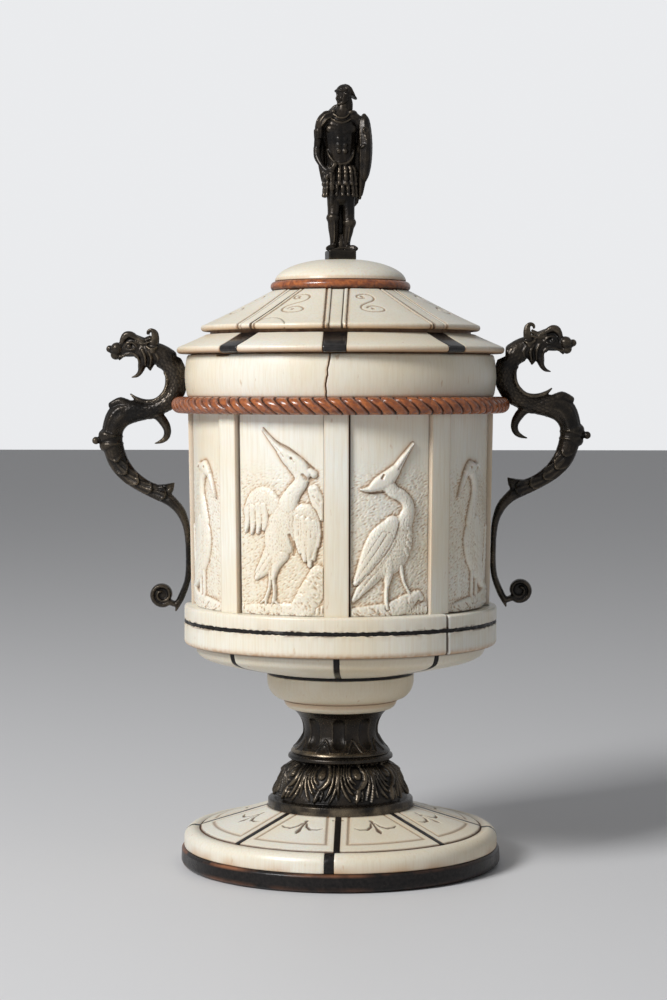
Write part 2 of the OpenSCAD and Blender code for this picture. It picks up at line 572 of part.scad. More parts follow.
// Balls smaller than this share of the bar get fewer facets
head_small_share = 0.3;
module head_ball(s) let (p = place([s[0], s[1], 0, 0])) translate([p[0], s[3] * handle_depth, p[1]])
    sphere(r = s[2] * handle_bar, $fn = s[2] < head_small_share ? 6 : 8);

// Volute: a band that rolls in on itself from the end of the tail
volute_shares = [0.29, 0.055];
volute_r_share = 0.105;
volute_in_share = 0.28;
volute_bar_shares = [0.36, 0.22];
volute_depth_share = 0.66;
volute_from = 225;
volute_turn = 560;
volute_steps = 16;
function volute_point(t) = let (c = place([volute_shares[0], volute_shares[1], 0, 0]),
    a = volute_from + volute_turn * t, r = handle_out * volute_r_share * (1 - t * (1 - volute_in_share)))
    [c[0] + r * cos(a), c[1] + r * sin(a),
    handle_bar * (volute_bar_shares[0] * (1 - t) + volute_bar_shares[1] * t),
    handle_depth * volute_depth_share];
volute_route = [place(limb_shares[len(limb_shares) - 1]),
    for (i = [0:volute_steps]) volute_point(i / volute_steps)];

// Everything the handle must stand clear of: cup wall, rope, rim band and the lid's way up
module handle_keep_out() {
    half = rope_h / 2;
    lid_way_r = lid_r + slide_gap * 2;
    turned(concat([[0, band_z], [band_r + seat_gap, band_z], [band_r + seat_gap, body_z + seat_gap],
        [strip_r - body_taper + seat_gap, body_z + seat_gap], [strip_r + seat_gap, rope_z - seat_gap]],
        polar_arc([rope_r - half, rope_z + half], half + seat_gap, half + seat_gap, -90, 90, 8),
        [for (i = [0:rim_steps]) [rim_r_at(i / rim_steps) + seat_gap,
            min(rim_z + max(seat_gap, rim_h * i / rim_steps), lid_z - slide_gap)]],
        [[lid_way_r, lid_z - slide_gap], [lid_way_r, figure_z], [0, figure_z]]));
}
module handle(lift) {
    difference() {
        translate([0, 0, lift]) {
            bar(route(limb_shares, 2));
            bar(route(crescent_shares, 2));
            bar(route(jaw_shares, 2));
            bar(route(collar_shares, 1));
            bar(volute_route);
            for (pair = head_shares) hull() {
                head_ball(pair[0]);
                head_ball(pair[1]);
            }
        }
        handle_keep_out();
    }
    handle_dowels(dowel_r, lift);
}

// Dowels cast on the handle's back, which run through the bone into the core
dowel_root_share = 0.2;
dowel_facets = 16;
module handle_dowels(r, lift) for (v = [seat_low_share, seat_high_share]) {
    root = out_at(0, v) + handle_bar * dowel_root_share;
    tip = core_r - dowel_in;
    translate([tip, 0, handle_z + v * handle_h + lift]) rotate([0, 90, 0])
        cylinder(r = r, h = root - tip, $fn = dowel_facets);
}
module dowel_bores() {
    handle_dowels(dowel_r + thread_gap, hand_fit);
    mirror([1, 0, 0]) handle_dowels(dowel_r + thread_gap, -hand_fit);
}
module handle_right() color("#3b2d1f") handle(hand_fit);
module handle_left() color("#3b2d1f") mirror([1, 0, 0]) handle(-hand_fit);

// Turned board of the lid: spigot, seat, lower cone, neck and upper cone
skirt_in_r = lid_r - skirt_run;
skirt_top_z = skirt_z + skirt_h;
skirt_slope = (skirt_h - lip_t) / skirt_run;
neck_in_r = skirt_in_r - roof_edge;
roof_in_r = collar_r - seat_lap;
roof_slope = (roof_h - roof_edge) / (roof_r - collar_r);
roof_foot_r = roof_r - (roof_t - roof_edge) / roof_slope;
seat_out_r = lid_r - lip_t / skirt_slope - lip_t / 2;
spigot_z = lid_z - spigot_h;
module lid_core() color("#7a5230") {
    seat_r = seat_out_r - glue_gap * 2;
    neck_r_lid = neck_in_r - glue_gap;
    difference() {
        turned([[0, spigot_z], [mouth_r - slide_gap, spigot_z], [mouth_r - slide_gap, lid_z],
            [seat_r, lid_z], [seat_r, skirt_z], [skirt_in_r - glue_gap * 2, skirt_top_z - lip_t],
            [neck_r_lid, skirt_top_z - lip_t], [neck_r_lid, roof_z + (roof_foot_r - neck_in_r) * roof_slope],
            [roof_in_r - glue_gap, collar_z - roof_t - glue_gap], [roof_in_r - glue_gap, collar_z],
            [0, collar_z]]);
        translate([0, 0, spigot_z - overrun]) cylinder(r = stud_r + bore_gap, h = collar_z);
        translate([0, 0, spigot_z - overrun]) cylinder(r = nut_r + nut_room, h = nut_pocket + overrun);
    }
}

// Lower tier: sloped plates with a round lip, parted by ebony blocks
skirt_outline = concat([[seat_out_r, skirt_z], [lid_r - lip_t / 2, skirt_z]],
    polar_arc([lid_r - lip_t / 2, skirt_z + lip_t / 2], lip_t / 2, lip_t / 2, -75, 75, 6),
    [[skirt_in_r, skirt_top_z], [neck_in_r, skirt_top_z], [neck_in_r, skirt_top_z - lip_t + glue_gap],
    [skirt_in_r, skirt_top_z - lip_t + glue_gap]]);
module lid_skirt_plates() color("#ece2c8") for (i = [0:len(lid_turns) - 1])
    plate(skirt_outline, lid_turns, i, block_w + joint_gap, lid_r, skirt_z, skirt_h);
module lid_skirt_blocks() color("#201a17") for (t = lid_turns)
    strip(skirt_outline, t, block_w, lid_r, skirt_z, skirt_h);

// Upper tier: plates with a thin edge, parted by narrow bone strips
roof_outline = [[roof_foot_r, roof_z], [roof_r, roof_z], [roof_r, roof_z + roof_edge],
    [roof_in_r, collar_z], [roof_in_r, collar_z - roof_t]];
module lid_roof_plates() color("#ece2c8") for (i = [0:len(lid_turns) - 1])
    plate(roof_outline, lid_turns, i, roof_strip_w + joint_gap, roof_r, roof_z, roof_h);
module lid_roof_strips() color("#e4d8ba") for (t = lid_turns)
    strip(roof_outline, t, roof_strip_w, roof_r, roof_z, roof_h);

module lid_collar() color("#8a4226") {
    half = collar_h / 2;
    difference() {
        turned(concat([[0, collar_z]], polar_arc([collar_r - half, collar_z + half], half, half, -90, 90, 8),
            [[0, dome_z]]));
        translate([0, 0, collar_z - overrun]) cylinder(r = stud_r + bore_gap, h = collar_h + overrun * 2);
    }
}

// Shallow dome, cut flat where the plinth stands
plinth_w_share = 0.181;
plinth_h_share = 0.057;
dome_flat_share = 0.75;
plinth_w = figure_h * plinth_w_share;
module lid_dome() color("#efe7d2") {
    flat_r = plinth_w * dome_flat_share;
    full_h = dome_h / sqrt(1 - pow(flat_r / dome_r, 2));
    difference() {
        turned(concat([[0, dome_z]], polar_arc([0, dome_z], dome_r, full_h, 0, acos(flat_r / dome_r), 12),
            [[0, figure_z]]));
        translate([0, 0, dome_z - overrun]) cylinder(r = stud_r + bore_gap, h = dome_h + overrun * 2);
    }
}

// Soldier: limbs and head as pairs of balls [across, back, up, radius], shares of the figure's height
soldier_shares = [
    [[-0.034, -0.05, 0.072, 0.02], [-0.034, 0.01, 0.085, 0.022]],
    [[0.034, -0.05, 0.072, 0.02], [0.034, 0.01, 0.085, 0.022]],
    [[-0.034, 0.01, 0.085, 0.023], [-0.043, 0.012, 0.155, 0.034]],
    [[0.034, 0.01, 0.085, 0.023], [0.043, 0.012, 0.155, 0.034]],
    [[-0.043, 0.012, 0.155, 0.034], [-0.045, -0.002, 0.21, 0.036]],
    [[0.043, 0.012, 0.155, 0.034], [0.047, -0.002, 0.21, 0.036]],
    [[-0.045, -0.002, 0.21, 0.035], [-0.045, 0, 0.37, 0.05]],
    [[0.047, -0.002, 0.21, 0.035], [0.045, 0, 0.37, 0.05]],
    [[-0.112, 0, 0.765, 0.042], [-0.122, 0.002, 0.7, 0.036]],
    [[-0.122, 0.002, 0.7, 0.034], [-0.128, 0.01, 0.6, 0.027]],
    [[-0.128, 0.01, 0.6, 0.026], [-0.082, -0.045, 0.485, 0.018]],
    [[0.085, 0, 0.77, 0.042], [0.12, 0.01, 0.66, 0.034]],
    [[0.12, 0.01, 0.66, 0.03], [0.1, -0.01, 0.54, 0.026]],
    [[0, 0, 0.8, 0.034], [0.003, -0.004, 0.86, 0.03]],
    [[0.005, -0.008, 0.872, 0.042], [0.007, -0.006, 0.905, 0.044]],
    [[0.002, 0, 0.93, 0.052], [0.002, 0, 0.95, 0.053]],
    [[0.01, -0.03, 0.94, 0.02], [0.076, -0.055, 0.92, 0.012]],
    [[-0.026, 0.02, 0.92, 0.035], [-0.034, 0.022, 0.885, 0.014]],
    [[0.095, 0.02, 0.48, 0.02], [0.098, 0.01, 0.37, 0.014]]];
// Trunk with its skirt, cloak and shield as flattened balls
// [across, back, up, half width, half depth, half height]
trunk_shares = [[0, 0, 0.4, 0.105, 0.085, 0.012], [0, 0, 0.6, 0.078, 0.058, 0.02],
    [0, -0.004, 0.73, 0.1, 0.066, 0.05], [-0.008, 0, 0.775, 0.095, 0.05, 0.04]];
cloak_shares = [[0, 0.052, 0.78, 0.08, 0.026, 0.03], [0.006, 0.074, 0.58, 0.066, 0.03, 0.03],
    [0.016, 0.066, 0.32, 0.084, 0.026, 0.015]];
shield_shares = [[0.122, -0.03, 0.76, 0.042, 0.02, 0.06], [0.128, -0.03, 0.68, 0.045, 0.02, 0.06],
    [0.118, -0.03, 0.49, 0.026, 0.018, 0.035]];
ball_facets = 8;
lump_facets = 12;
stud_facets = 24;
module soldier_ball(s) translate([s[0], s[1], s[2]] * figure_h)
    sphere(r = s[3] * figure_h, $fn = ball_facets);
module soldier_lump(s) translate([s[0], s[1], s[2]] * figure_h) scale([s[3], s[4], s[5]] * figure_h)
    sphere(r = 1, $fn = lump_facets);
module soldier_chain(shares) for (i = [0:len(shares) - 2]) hull() {
    soldier_lump(shares[i]);
    soldier_lump(shares[i + 1]);
}
module finial_soldier() color("#2e251c") {
    translate([0, 0, figure_z]) {
        translate([-plinth_w / 2, -plinth_w / 2, 0]) cube([plinth_w, plinth_w, figure_h * plinth_h_share]);
        for (pair = soldier_shares) hull() {
            soldier_ball(pair[0]);
            soldier_ball(pair[1]);
        }
        soldier_chain(trunk_shares);
        soldier_chain(cloak_shares);
        hull() for (s = shield_shares) soldier_lump(s);
    }
    translate([0, 0, spigot_z + rod_end])
        cylinder(r = stud_r, h = figure_z - spigot_z, $fn = stud_facets);
}
module finial_nut() color("#565656") nut(spigot_z + nut_room, stud_r);

base_disc();
foot_core();
for (i = [0:3]) foot_rim(i);
foot_rim_keys();
for (i = [0:7]) foot_plate(i);
foot_fillets();
stem_foot();
stem_neck();
knop();
knop_washer();
tie_rod();
tie_nuts();
soffit_plates();
soffit_fillets();
for (i = [0:2]) base_band(i);
band_inlay();
cup_core();
cup_floor();
for (i = [0:7]) relief_panel(i);
for (i = [0:7]) body_strip(i);
rope_moulding();
rim_band();
handle_left();
handle_right();
lid_core();
lid_skirt_plates();
lid_skirt_blocks();
lid_roof_plates();
lid_roof_strips();
lid_collar();
lid_dome();
finial_soldier();
finial_nut();
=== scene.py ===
import math

import bmesh
import bpy
import numpy as np
from mathutils import Matrix, Vector


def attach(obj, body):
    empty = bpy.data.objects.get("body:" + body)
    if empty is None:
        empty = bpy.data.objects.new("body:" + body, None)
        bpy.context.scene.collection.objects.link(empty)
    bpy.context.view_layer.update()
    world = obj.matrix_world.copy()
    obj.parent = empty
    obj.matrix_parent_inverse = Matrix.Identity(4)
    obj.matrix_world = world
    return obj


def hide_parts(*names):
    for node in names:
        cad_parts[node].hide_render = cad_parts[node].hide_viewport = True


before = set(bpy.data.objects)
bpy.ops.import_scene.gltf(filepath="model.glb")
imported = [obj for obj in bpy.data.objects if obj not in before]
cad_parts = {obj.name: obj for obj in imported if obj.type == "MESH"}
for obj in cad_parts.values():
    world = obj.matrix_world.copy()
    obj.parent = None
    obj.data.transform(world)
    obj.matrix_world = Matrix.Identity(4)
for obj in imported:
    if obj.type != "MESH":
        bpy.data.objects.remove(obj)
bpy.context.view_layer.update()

# The view: a long lens at the height of the cup's wall, a little to the right of the front.
# It looks slightly down, as the photograph does, and the cup stands a little right of the middle.
lens_mm, sensor_mm = 86.4, 36
view_distance, view_height = 0.926, 0.1846
view_turn, view_aside, view_down = math.radians(2.0), math.radians(0.167), math.radians(2.72)
camera = bpy.data.objects.new("camera", bpy.data.cameras.new("camera"))
bpy.context.scene.collection.objects.link(camera)
camera.data.sensor_fit = "VERTICAL"
camera.data.sensor_width = sensor_mm
camera.data.sensor_height = sensor_mm
camera.data.lens = lens_mm
camera.location = (view_distance * math.sin(view_turn), -view_distance * math.cos(view_turn), view_height)
camera.rotation_euler = (math.pi / 2 - view_down, 0, view_turn + view_aside)
bpy.context.scene.camera = camera
bpy.context.scene.view_settings.view_transform = "Standard"

# The studio: a pale floor under a pale surround, a large soft lamp at the upper left like a window,
# and a weak one at the right, so the shaded side stays readable.
floor_half, floor_colour, floor_rough = 6.0, (0.74, 0.74, 0.75, 1), 0.55
key_place, key_size, key_power, key_colour = Vector((-1.0, -1.035, 1.1)), 0.55, 29.0, (1.0, 1.0, 1.0)
fill_place, fill_size, fill_power, fill_colour = Vector((1.3, -0.9, 0.6)), 1.0, 0.6, (0.93, 0.96, 1.0)
aim_point = Vector((0, 0, 0.16))
# The surround's strength as light, in mirror images and straight into the camera
sky_light, sky_mirrored, sky_seen, sky_colour = 0.19, 0.45, 0.85, (0.97, 0.98, 1.0, 1)


def wire(material, kind, inputs, **settings):
    """Adds a shader node, with a value or a link on each socket that is named or numbered."""
    made = material.node_tree.nodes.new("ShaderNode" + kind)
    for key, value in settings.items():
        setattr(made, key, value)
    for key, value in inputs.items():
        if isinstance(value, bpy.types.NodeSocket):
            material.node_tree.links.new(value, made.inputs[key])
        else:
            made.inputs[key].default_value = value
    return made


def lamp(name, place, size, power, colour):
    light = bpy.data.lights.new(name, "AREA")
    light.size = size
    light.energy = power
    light.color = colour
    made = bpy.data.objects.new(name, light)
    made.location = place
    made.rotation_euler = (aim_point - place).to_track_quat("-Z", "Y").to_euler()
    bpy.context.scene.collection.objects.link(made)


lamp("window_lamp", key_place, key_size, key_power, key_colour)
lamp("fill_lamp", fill_place, fill_size, fill_power, fill_colour)
surround = bpy.data.worlds.new("surround")
surround.use_nodes = True
bpy.context.scene.world = surround
sky = surround.node_tree.nodes["Background"]
path = wire(surround, "LightPath", {})
unseen = wire(surround, "MapRange", {"Value": path.outputs["Is Glossy Ray"], "To Min": sky_light,
                                     "To Max": sky_mirrored})
strength = wire(surround, "MapRange", {"Value": path.outputs["Is Camera Ray"], "To Min": unseen.outputs[0],
                                       "To Max": sky_seen})
surround.node_tree.links.new(strength.outputs[0], sky.inputs["Strength"])
sky.inputs["Color"].default_value = sky_colour

floor_bm = bmesh.new()
bmesh.ops.create_grid(floor_bm, x_segments=1, y_segments=1, size=floor_half)
floor_mesh = bpy.data.meshes.new("floor")
floor_bm.to_mesh(floor_mesh)
floor_bm.free()
floor = bpy.data.objects.new("floor", floor_mesh)
bpy.context.scene.collection.objects.link(floor)
floor_paint = bpy.data.materials.new("floor_paint")
floor_paint.use_nodes = True
floor_sockets = floor_paint.node_tree.nodes["Principled BSDF"].inputs
floor_sockets["Base Color"].default_value = floor_colour
floor_sockets["Roughness"].default_value = floor_rough
floor_mesh.materials.append(floor_paint)

# Base disc: turned wood, ebonised and lightly textured, whose lower and upper edges are rubbed back
# to the red-brown wood. It stands on the table and is recessed below for the nut of the tie rod.
mm = 0.001
base_r, base_h, base_steps = 61.7 * mm, 7.1 * mm, 288
base_foot_w, base_foot_h, base_top_round = 3.2 * mm, 2.2 * mm, 1.5 * mm
nut_pocket_r, nut_pocket_h, rod_bore_r = 5.7 * mm, 4.1 * mm, 2.4 * mm
# Factors that mix a corner of the ripple's cells into its key, and those that make the slope from it
ripple_keys, ripple_odds = (73856093, 19349663, 83492791), (1597, 51749, 244957)


def object_grain(material, scale, detail, distortion=0.0):
    """Noise fixed to the piece, with a scale for each axis."""
    spot = wire(material, "TexCoord", {})
    sized = wire(material, "Mapping", {"Vector": spot.outputs["Object"], "Scale": scale})
    return wire(material, "TexNoise", {"Vector": sized.outputs[0], "Scale": 1.0, "Detail": detail,
                                       "Roughness": 0.55, "Distortion": distortion}).outputs["Fac"]


def mark(material, name):
    """What attribute() has written on the piece."""
    return wire(material, "Attribute", {}, attribute_name=name).outputs["Fac"]


def steps_of(material, value, low, high, out_low=0.0, out_high=1.0):
    """The value stretched from low and high to the two out values, and held there."""
    return wire(material, "MapRange", {"Value": value, "From Min": low, "From Max": high,
                                       "To Min": out_low, "To Max": out_high}).outputs[0]


def sums(material, kind, a, b):
    return wire(material, "Math", {0: a, 1: b}, operation=kind).outputs[0]


def tint(material, amount, a, b):
    """Colour a with an amount of colour b in its place."""
    return wire(material, "Mix", {0: amount, 6: a, 7: b}, data_type="RGBA").outputs[2]


def finish(name):
    material = bpy.data.materials.new(name)
    material.use_nodes = True
    return material


def into(material, **values):
    """Sets or wires the shader's own sockets."""
    shader = material.node_tree.nodes["Principled BSDF"]
    for key, value in values.items():
        target = shader.inputs[key.replace("_", " ")]
        if isinstance(value, bpy.types.NodeSocket):
            material.node_tree.links.new(value, target)
        else:
            target.default_value = value


def bumped(material, height, depth, strength):
    return wire(material, "Bump", {"Height": height, "Distance": depth, "Strength": strength}).outputs[0]


def ebony_finish():
    material = finish("ebony")
    fine = object_grain(material, (900, 900, 900), 4)
    broad = object_grain(material, (60, 60, 60), 4)
    rubbed = sums(material, "MULTIPLY", mark(material, "edge"),
                  steps_of(material, broad, 0.44, 0.64, 0.0, 1.3))
    rubbed = sums(material, "MINIMUM", rubbed, 1.0)
    black = tint(material, steps_of(material, fine, 0.3, 0.7), (0.0035, 0.0032, 0.0035, 1),
                 (0.017, 0.014, 0.013, 1))
    colour = tint(material, rubbed, black, (0.24, 0.10, 0.05, 1))
    into(material, Base_Color=colour, Roughness=steps_of(material, broad, 0.3, 0.7, 0.24, 0.42),
         Specular_IOR_Level=0.22, Normal=bumped(material, fine, 0.12 * mm, 0.7))
    return material


def part(name, bm, body, slot, material, *nodes, angle=35):
    """A finished piece: mesh, shading, material, the body that carries it and the nodes it stands for."""
    mesh = bpy.data.meshes.new(name)
    bm.to_mesh(mesh)
    bm.free()
    mesh.shade_smooth()
    mesh.set_sharp_from_angle(angle=math.radians(angle))
    mesh.materials.append(material)
    made = bpy.data.objects.new(name, mesh)
    bpy.context.scene.collection.objects.link(made)
    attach(made, body)
    if nodes:
        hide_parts(*nodes)
    return made


def soften(points, radius, steps=3):
    """The closed section with its corners rounded."""
    soft = []
    for i, corner in enumerate(points):
        here, before, after = Vector(corner), Vector(points[i - 1]), Vector(points[(i + 1) % len(points)])
        back, on = before - here, after - here
        if back.length < 1e-9 or on.length < 1e-9:
            continue
        if (-back).angle(on) < 0.4:
            soft.append(here)
            continue
        a = here + back.normalized() * min(radius, back.length * 0.45)
        b = here + on.normalized() * min(radius, on.length * 0.45)
        for k in range(steps + 1):
            t = k / steps
            soft.append(a.lerp(here, t).lerp(here.lerp(b, t), t))
    return soft


def arc(centre, radius, start, end, steps):
    """Points of a quarter round or other arc of a section."""
    rx, ry = radius if isinstance(radius, tuple) else (radius, radius)
    turns = [math.radians(start + (end - start) * i / steps) for i in range(steps + 1)]
    return [(centre[0] + rx * math.cos(a), centre[1] + ry * math.sin(a)) for a in turns]


def face_outwards(bm):
    """Turns all faces of a closed piece outwards. On a thin bent plate the operator may choose inwards."""
    bmesh.ops.recalc_face_normals(bm, faces=bm.faces)
    if bm.calc_volume(signed=True) < 0:
        bmesh.ops.reverse_faces(bm, faces=bm.faces)


def drawn_out(bm, section, steps):
    """Draws a section out along y into a straight bar of unit length, cut into equal steps."""
    bmesh.ops.spin(bm, geom=section, cent=(0, 0, 0), axis=(0, 0, 1), dvec=(0, 1, 0), angle=0, steps=1,
                   use_merge=False, use_duplicate=False)
    along = [e for e in bm.edges if abs(e.verts[0].co.y - e.verts[1].co.y) > 0.5]
    bmesh.ops.subdivide_edges(bm, edges=along, cuts=steps - 1)


def turned(section, steps):
    """A full turned ring with that closed section of (radius, height) points."""
    bm = bmesh.new()
    ring = [bm.verts.new((p[0], 0, p[1])) for p in section]
    edges = [bm.edges.new((ring[i - 1], ring[i])) for i in range(len(ring))]
    drawn_out(bm, ring + edges, steps)
    points = places(bm)
    turn = points[:, 1] * math.tau
    put(bm, np.stack([points[:, 0] * np.cos(turn), points[:, 0] * np.sin(turn), points[:, 2]], axis=1))
    bmesh.ops.remove_doubles(bm, verts=bm.verts, dist=1e-7)
    face_outwards(bm)
    return bm


def places(bm):
    return np.array([v.co[:] for v in bm.verts])


def put(bm, points):
    for vert, point in zip(bm.verts, points):
        vert.co = point


def ripple(points):
    """Smooth unevenness, of about -1 to 1, at points given in ripple widths."""
    cell = np.floor(points).astype(np.int64)
    within = points - cell
    ease = within ** 3 * (within * (within * 6 - 15) + 10)
    total = np.zeros(len(points))
    for corner in np.ndindex(2, 2, 2):
        key = (cell + corner) @ np.array(ripple_keys)
        key = (key ^ (key >> 13)) & 0xFFFFFFFF
        slopes = np.stack([((key * odd) >> 9 & 1023) / 511.5 - 1 for odd in ripple_odds], axis=1)
        share = np.prod(np.where(corner, ease, 1 - ease), axis=1)
        total += share * np.einsum("ij,ij->i", slopes, within - corner)
    return total


def rough_up(bm, depth, pitch):
    """Small unevenness of hand work."""
    bm.normal_update()
    points = places(bm)
    normals = np.array([v.normal[:] for v in bm.verts])
    put(bm, points + normals * depth * ripple(points / pitch)[:, None])


def fade(distance, width):
    """1 at no distance or less, down to 0 at the width and beyond."""
    return np.clip(1 - distance / width, 0, 1)


def attribute(made, name, values):
    """A mark for the finishes: a value for each point, or one value for all of them."""
    layer = made.data.attributes.new(name, "FLOAT", "POINT")
    layer.data.foreach_set("value", np.full(len(layer.data), values, dtype=np.float32))


ebony = ebony_finish()
base_section = soften(
    [(rod_bore_r, nut_pocket_h), (nut_pocket_r, nut_pocket_h), (nut_pocket_r, 0), (base_r - 4.2 * mm, 0)]
    + arc((base_r - base_foot_w, base_foot_h), (base_foot_w, base_foot_h), -80, -10, 5)
    + [(base_r, 2.6 * mm), (base_r - 0.15 * mm, base_h - base_top_round)]
    + arc((base_r - 1.6 * mm, base_h - base_top_round), base_top_round, 10, 80, 5)
    + [(base_r - 2.2 * mm, base_h), (rod_bore_r, base_h)], 0.4 * mm)
base_bm = turned(base_section, base_steps)
rough_up(base_bm, 0.12 * mm, 6 * mm)
base_points = places(base_bm)
base_points[:, 2] = np.maximum(base_points[:, 2], 0)
put(base_bm, base_points)
base_disc = part("base_disc_turned", base_bm, "cup", "ebony", ebony, "base_disc")
base_reach = np.hypot(base_points[:, 0], base_points[:, 1])
handled = 0.55 - 0.5 * base_points[:, 0] / base_r
near_top = fade(np.abs(base_points[:, 2] - (base_h - 0.5 * mm)), 0.9 * mm)
near_foot = fade(np.abs(base_points[:, 2] - 1.0 * mm), 1.2 * mm)
rubbed = (near_top + near_foot * 0.6) * handled * (base_reach > base_r - 3.4 * mm)
attribute(base_disc, "edge", np.clip(rubbed, 0, 1))

# Foot: a bone ring in four lengths with ebony keys in its joints, and eight sloped bone plates with
# ebony fillets between them. All are glued to a turned wooden cone. Each plate has an incised,
# brown-filled border on its sides and outer edge, and a three-armed sprig near the stem.
foot_r, foot_in_r = 60.6 * mm, 54.6 * mm
foot_z, foot_top_z = 7.1 * mm, 14.2 * mm
stem_r, stem_z = 28.1 * mm, 22.3 * mm
foot_plate_t = 1.9 * mm
key_w, foot_fillet_w, joint_gap = 3.4 * mm, 2.0 * mm, 0.25 * mm
glue_gap = 0.08 * mm
ring_steps, foot_plate_steps, top_rows = 64, 116, 84
rim_turns = [-2, 90, 180, 270]
foot_turns = [0.5, 46, 90, 135, 180, 225, 270, 317]
bone_pale, bone_warm = (0.84, 0.83, 0.755, 1), (0.80, 0.72, 0.56, 1)
bone_wax, bone_dark = (0.86, 0.83, 0.76, 1), (0.64, 0.51, 0.32, 1)
wax_and_shade_brown, amber_brown = (0.085, 0.038, 0.016, 1), (0.48, 0.23, 0.065, 1)


def bone_finish():
    material = finish("bone")
    fibre = object_grain(material, (1300, 1300, 60), 3)
    patch = object_grain(material, (24, 24, 17), 3)
    speck = object_grain(material, (500, 500, 170), 2)
    colour = tint(material, steps_of(material, patch, 0.36, 0.68), bone_pale, bone_warm)
    colour = tint(material, mark(material, "tone"), colour, bone_dark)
    colour = tint(material, steps_of(material, fibre, 0.42, 0.75, 0, 0.32), colour, bone_dark)
    colour = tint(material, steps_of(material, speck, 0.7, 0.78, 0, 0.45), colour, amber_brown)
    # amber is yellowed bone, and painted shade beside the herons, round the knop's crease and under the lower
    # tier's lip
    colour = tint(material, mark(material, "amber"), colour, amber_brown)
    colour = tint(material, mark(material, "pale"), colour, bone_wax)
    # hollow paints brown wax in cuts and joints, and painted shade in the carving's hollows, creases, gaps
    # and under other pieces
    colour = tint(material, mark(material, "hollow"), colour, wax_and_shade_brown)
    rough = sums(material, "ADD", steps_of(material, fibre, 0.3, 0.8, 0.27, 0.42),
                 sums(material, "MULTIPLY", mark(material, "hollow"), 0.35))
    into(material, Base_Color=colour, Roughness=rough, Normal=bumped(material, fibre, 0.05 * mm, 0.5),
         Subsurface_Weight=0.12, Subsurface_Radius=(1.0, 0.55, 0.3), Subsurface_Scale=2 * mm)
    return material


def ring_part(section, start, end, side, steps, arris):
    """Part of a turned ring between two directions, in degrees from the front towards +x. Its sides are
    parallel to the joints' middle lines at the distance side, which is negative for a narrow strip."""
    bm = bmesh.new()
    drawn_out(bm, [bm.faces.new([bm.verts.new((p[0], 0, p[1])) for p in section])], steps)
    points = places(bm)
    r, share = points[:, 0], points[:, 1]
    aside = np.arcsin(side / r)
    turn = math.radians(start - 90) + aside + share * (math.radians(end - start) - 2 * aside)
    put(bm, np.stack([r * np.cos(turn), r * np.sin(turn), points[:, 2]], axis=1))
    face_outwards(bm)
    if arris:
        caps = [f for f in bm.faces if len(f.verts) == len(section)]
        rims = dict.fromkeys(e for f in caps for e in f.edges)
        bmesh.ops.bevel(bm, geom=list(rims), offset=arris, segments=2, profile=0.5, affect="EDGES",
                        material=-1, clamp_overlap=True)
    return bm


def polar(points):
    """Radius and turn, in radians from the front towards +x, of each point."""
    return np.hypot(points[:, 0], points[:, 1]), np.arctan2(points[:, 0], -points[:, 1])


def set_polar(points, r, turn):
    points[:, 0], points[:, 1] = r * np.sin(turn), -r * np.cos(turn)


def around(turn, middle):
    """Turn measured from a middle direction, within half a circle."""
    return (turn - middle + math.pi) % math.tau - math.pi


def off_joint(r, turn, direction):
    """How far each point lies past the middle plane of a joint or strip, whose direction is in degrees."""
    return r * np.sin(around(turn, math.radians(direction)))


def line_distance(across, along, route):
    """Distance of each point to the nearest part of a line, and how far along the line that part is."""
    best, where = np.full(len(across), 1e9), np.zeros(len(across))
    for i in range(len(route) - 1):
        ax, ay, bx, by = *route[i][:2], *route[i + 1][:2]
        dx, dy = bx - ax, by - ay
        t = np.clip(((across - ax) * dx + (along - ay) * dy) / (dx * dx + dy * dy), 0, 1)
        d = np.hypot(across - ax - t * dx, along - ay - t * dy)
        near = d < best
        best, where = np.where(near, d, best), np.where(near, i + t, where)
    return best, where


def groove(distance, half_width):
    """Depth share of a round-bottomed groove at a distance from its middle line."""
    return np.sqrt(np.clip(1 - (distance / half_width) ** 2, 0, 1))


def next_turn(turns, i):
    return turns[i + 1] if i + 1 < len(turns) else turns[0] + 360


def points_of(made):
    return np.array([v.co[:] for v in made.data.vertices])


def leads(i, node):
    """The first piece of a row replaces its node, which holds the whole row."""
    return [node] if i == 0 else []


def tone_of(i):
    """How yellow a piece of a row is: no two beside each other are alike."""
    return 0.22 * (0.5 + 0.5 * math.sin(i * 2.4 + 0.7))


bone = bone_finish()
rim_section = soften(
    [(foot_in_r, foot_z), (foot_r - 0.1 * mm, foot_z), (foot_r, foot_z + 0.6 * mm)]
    + arc((foot_r - 4 * mm, foot_top_z - 4 * mm), 4 * mm, 8, 86, 9) + [(foot_in_r, foot_top_z - 0.4 * mm)],
    0.35 * mm)
for i, start in enumerate(rim_turns):
    end = next_turn(rim_turns, i)
    bm = ring_part(rim_section, start, end, (key_w + joint_gap) / 2, ring_steps, 0.35 * mm)
    rough_up(bm, 0.1 * mm, 9 * mm)
    made = part(f"foot_ring_{i + 1}", bm, "cup", "bone", bone, f"foot_rim_{i + 1}")
    points = points_of(made)
    r, turn = polar(points)
    stain = ripple(points / (11 * mm))
    low = fade(points[:, 2] - foot_z, 2.2 * mm)
    attribute(made, "amber", np.clip(low * (0.35 + stain * 1.6), 0, 0.85))
    inner = fade(r - foot_in_r, 0.5 * mm)
    attribute(made, "hollow", np.clip(inner + fade(points[:, 2] - foot_z, 0.3 * mm), 0, 1))
    attribute(made, "tone", tone_of(i))
for i, middle in enumerate(rim_turns):
    bm = ring_part(rim_section, middle, middle, -key_w / 2, 8, 0.25 * mm)
    rough_up(bm, 0.2 * mm, 1.5 * mm)
    if i:
        bmesh.ops.translate(bm, verts=bm.verts, vec=(0, 0, -0.1 * mm))
    part(f"foot_key_{i + 1}", bm, "cup", "ebony", ebony, *leads(i, "foot_rim_keys"))

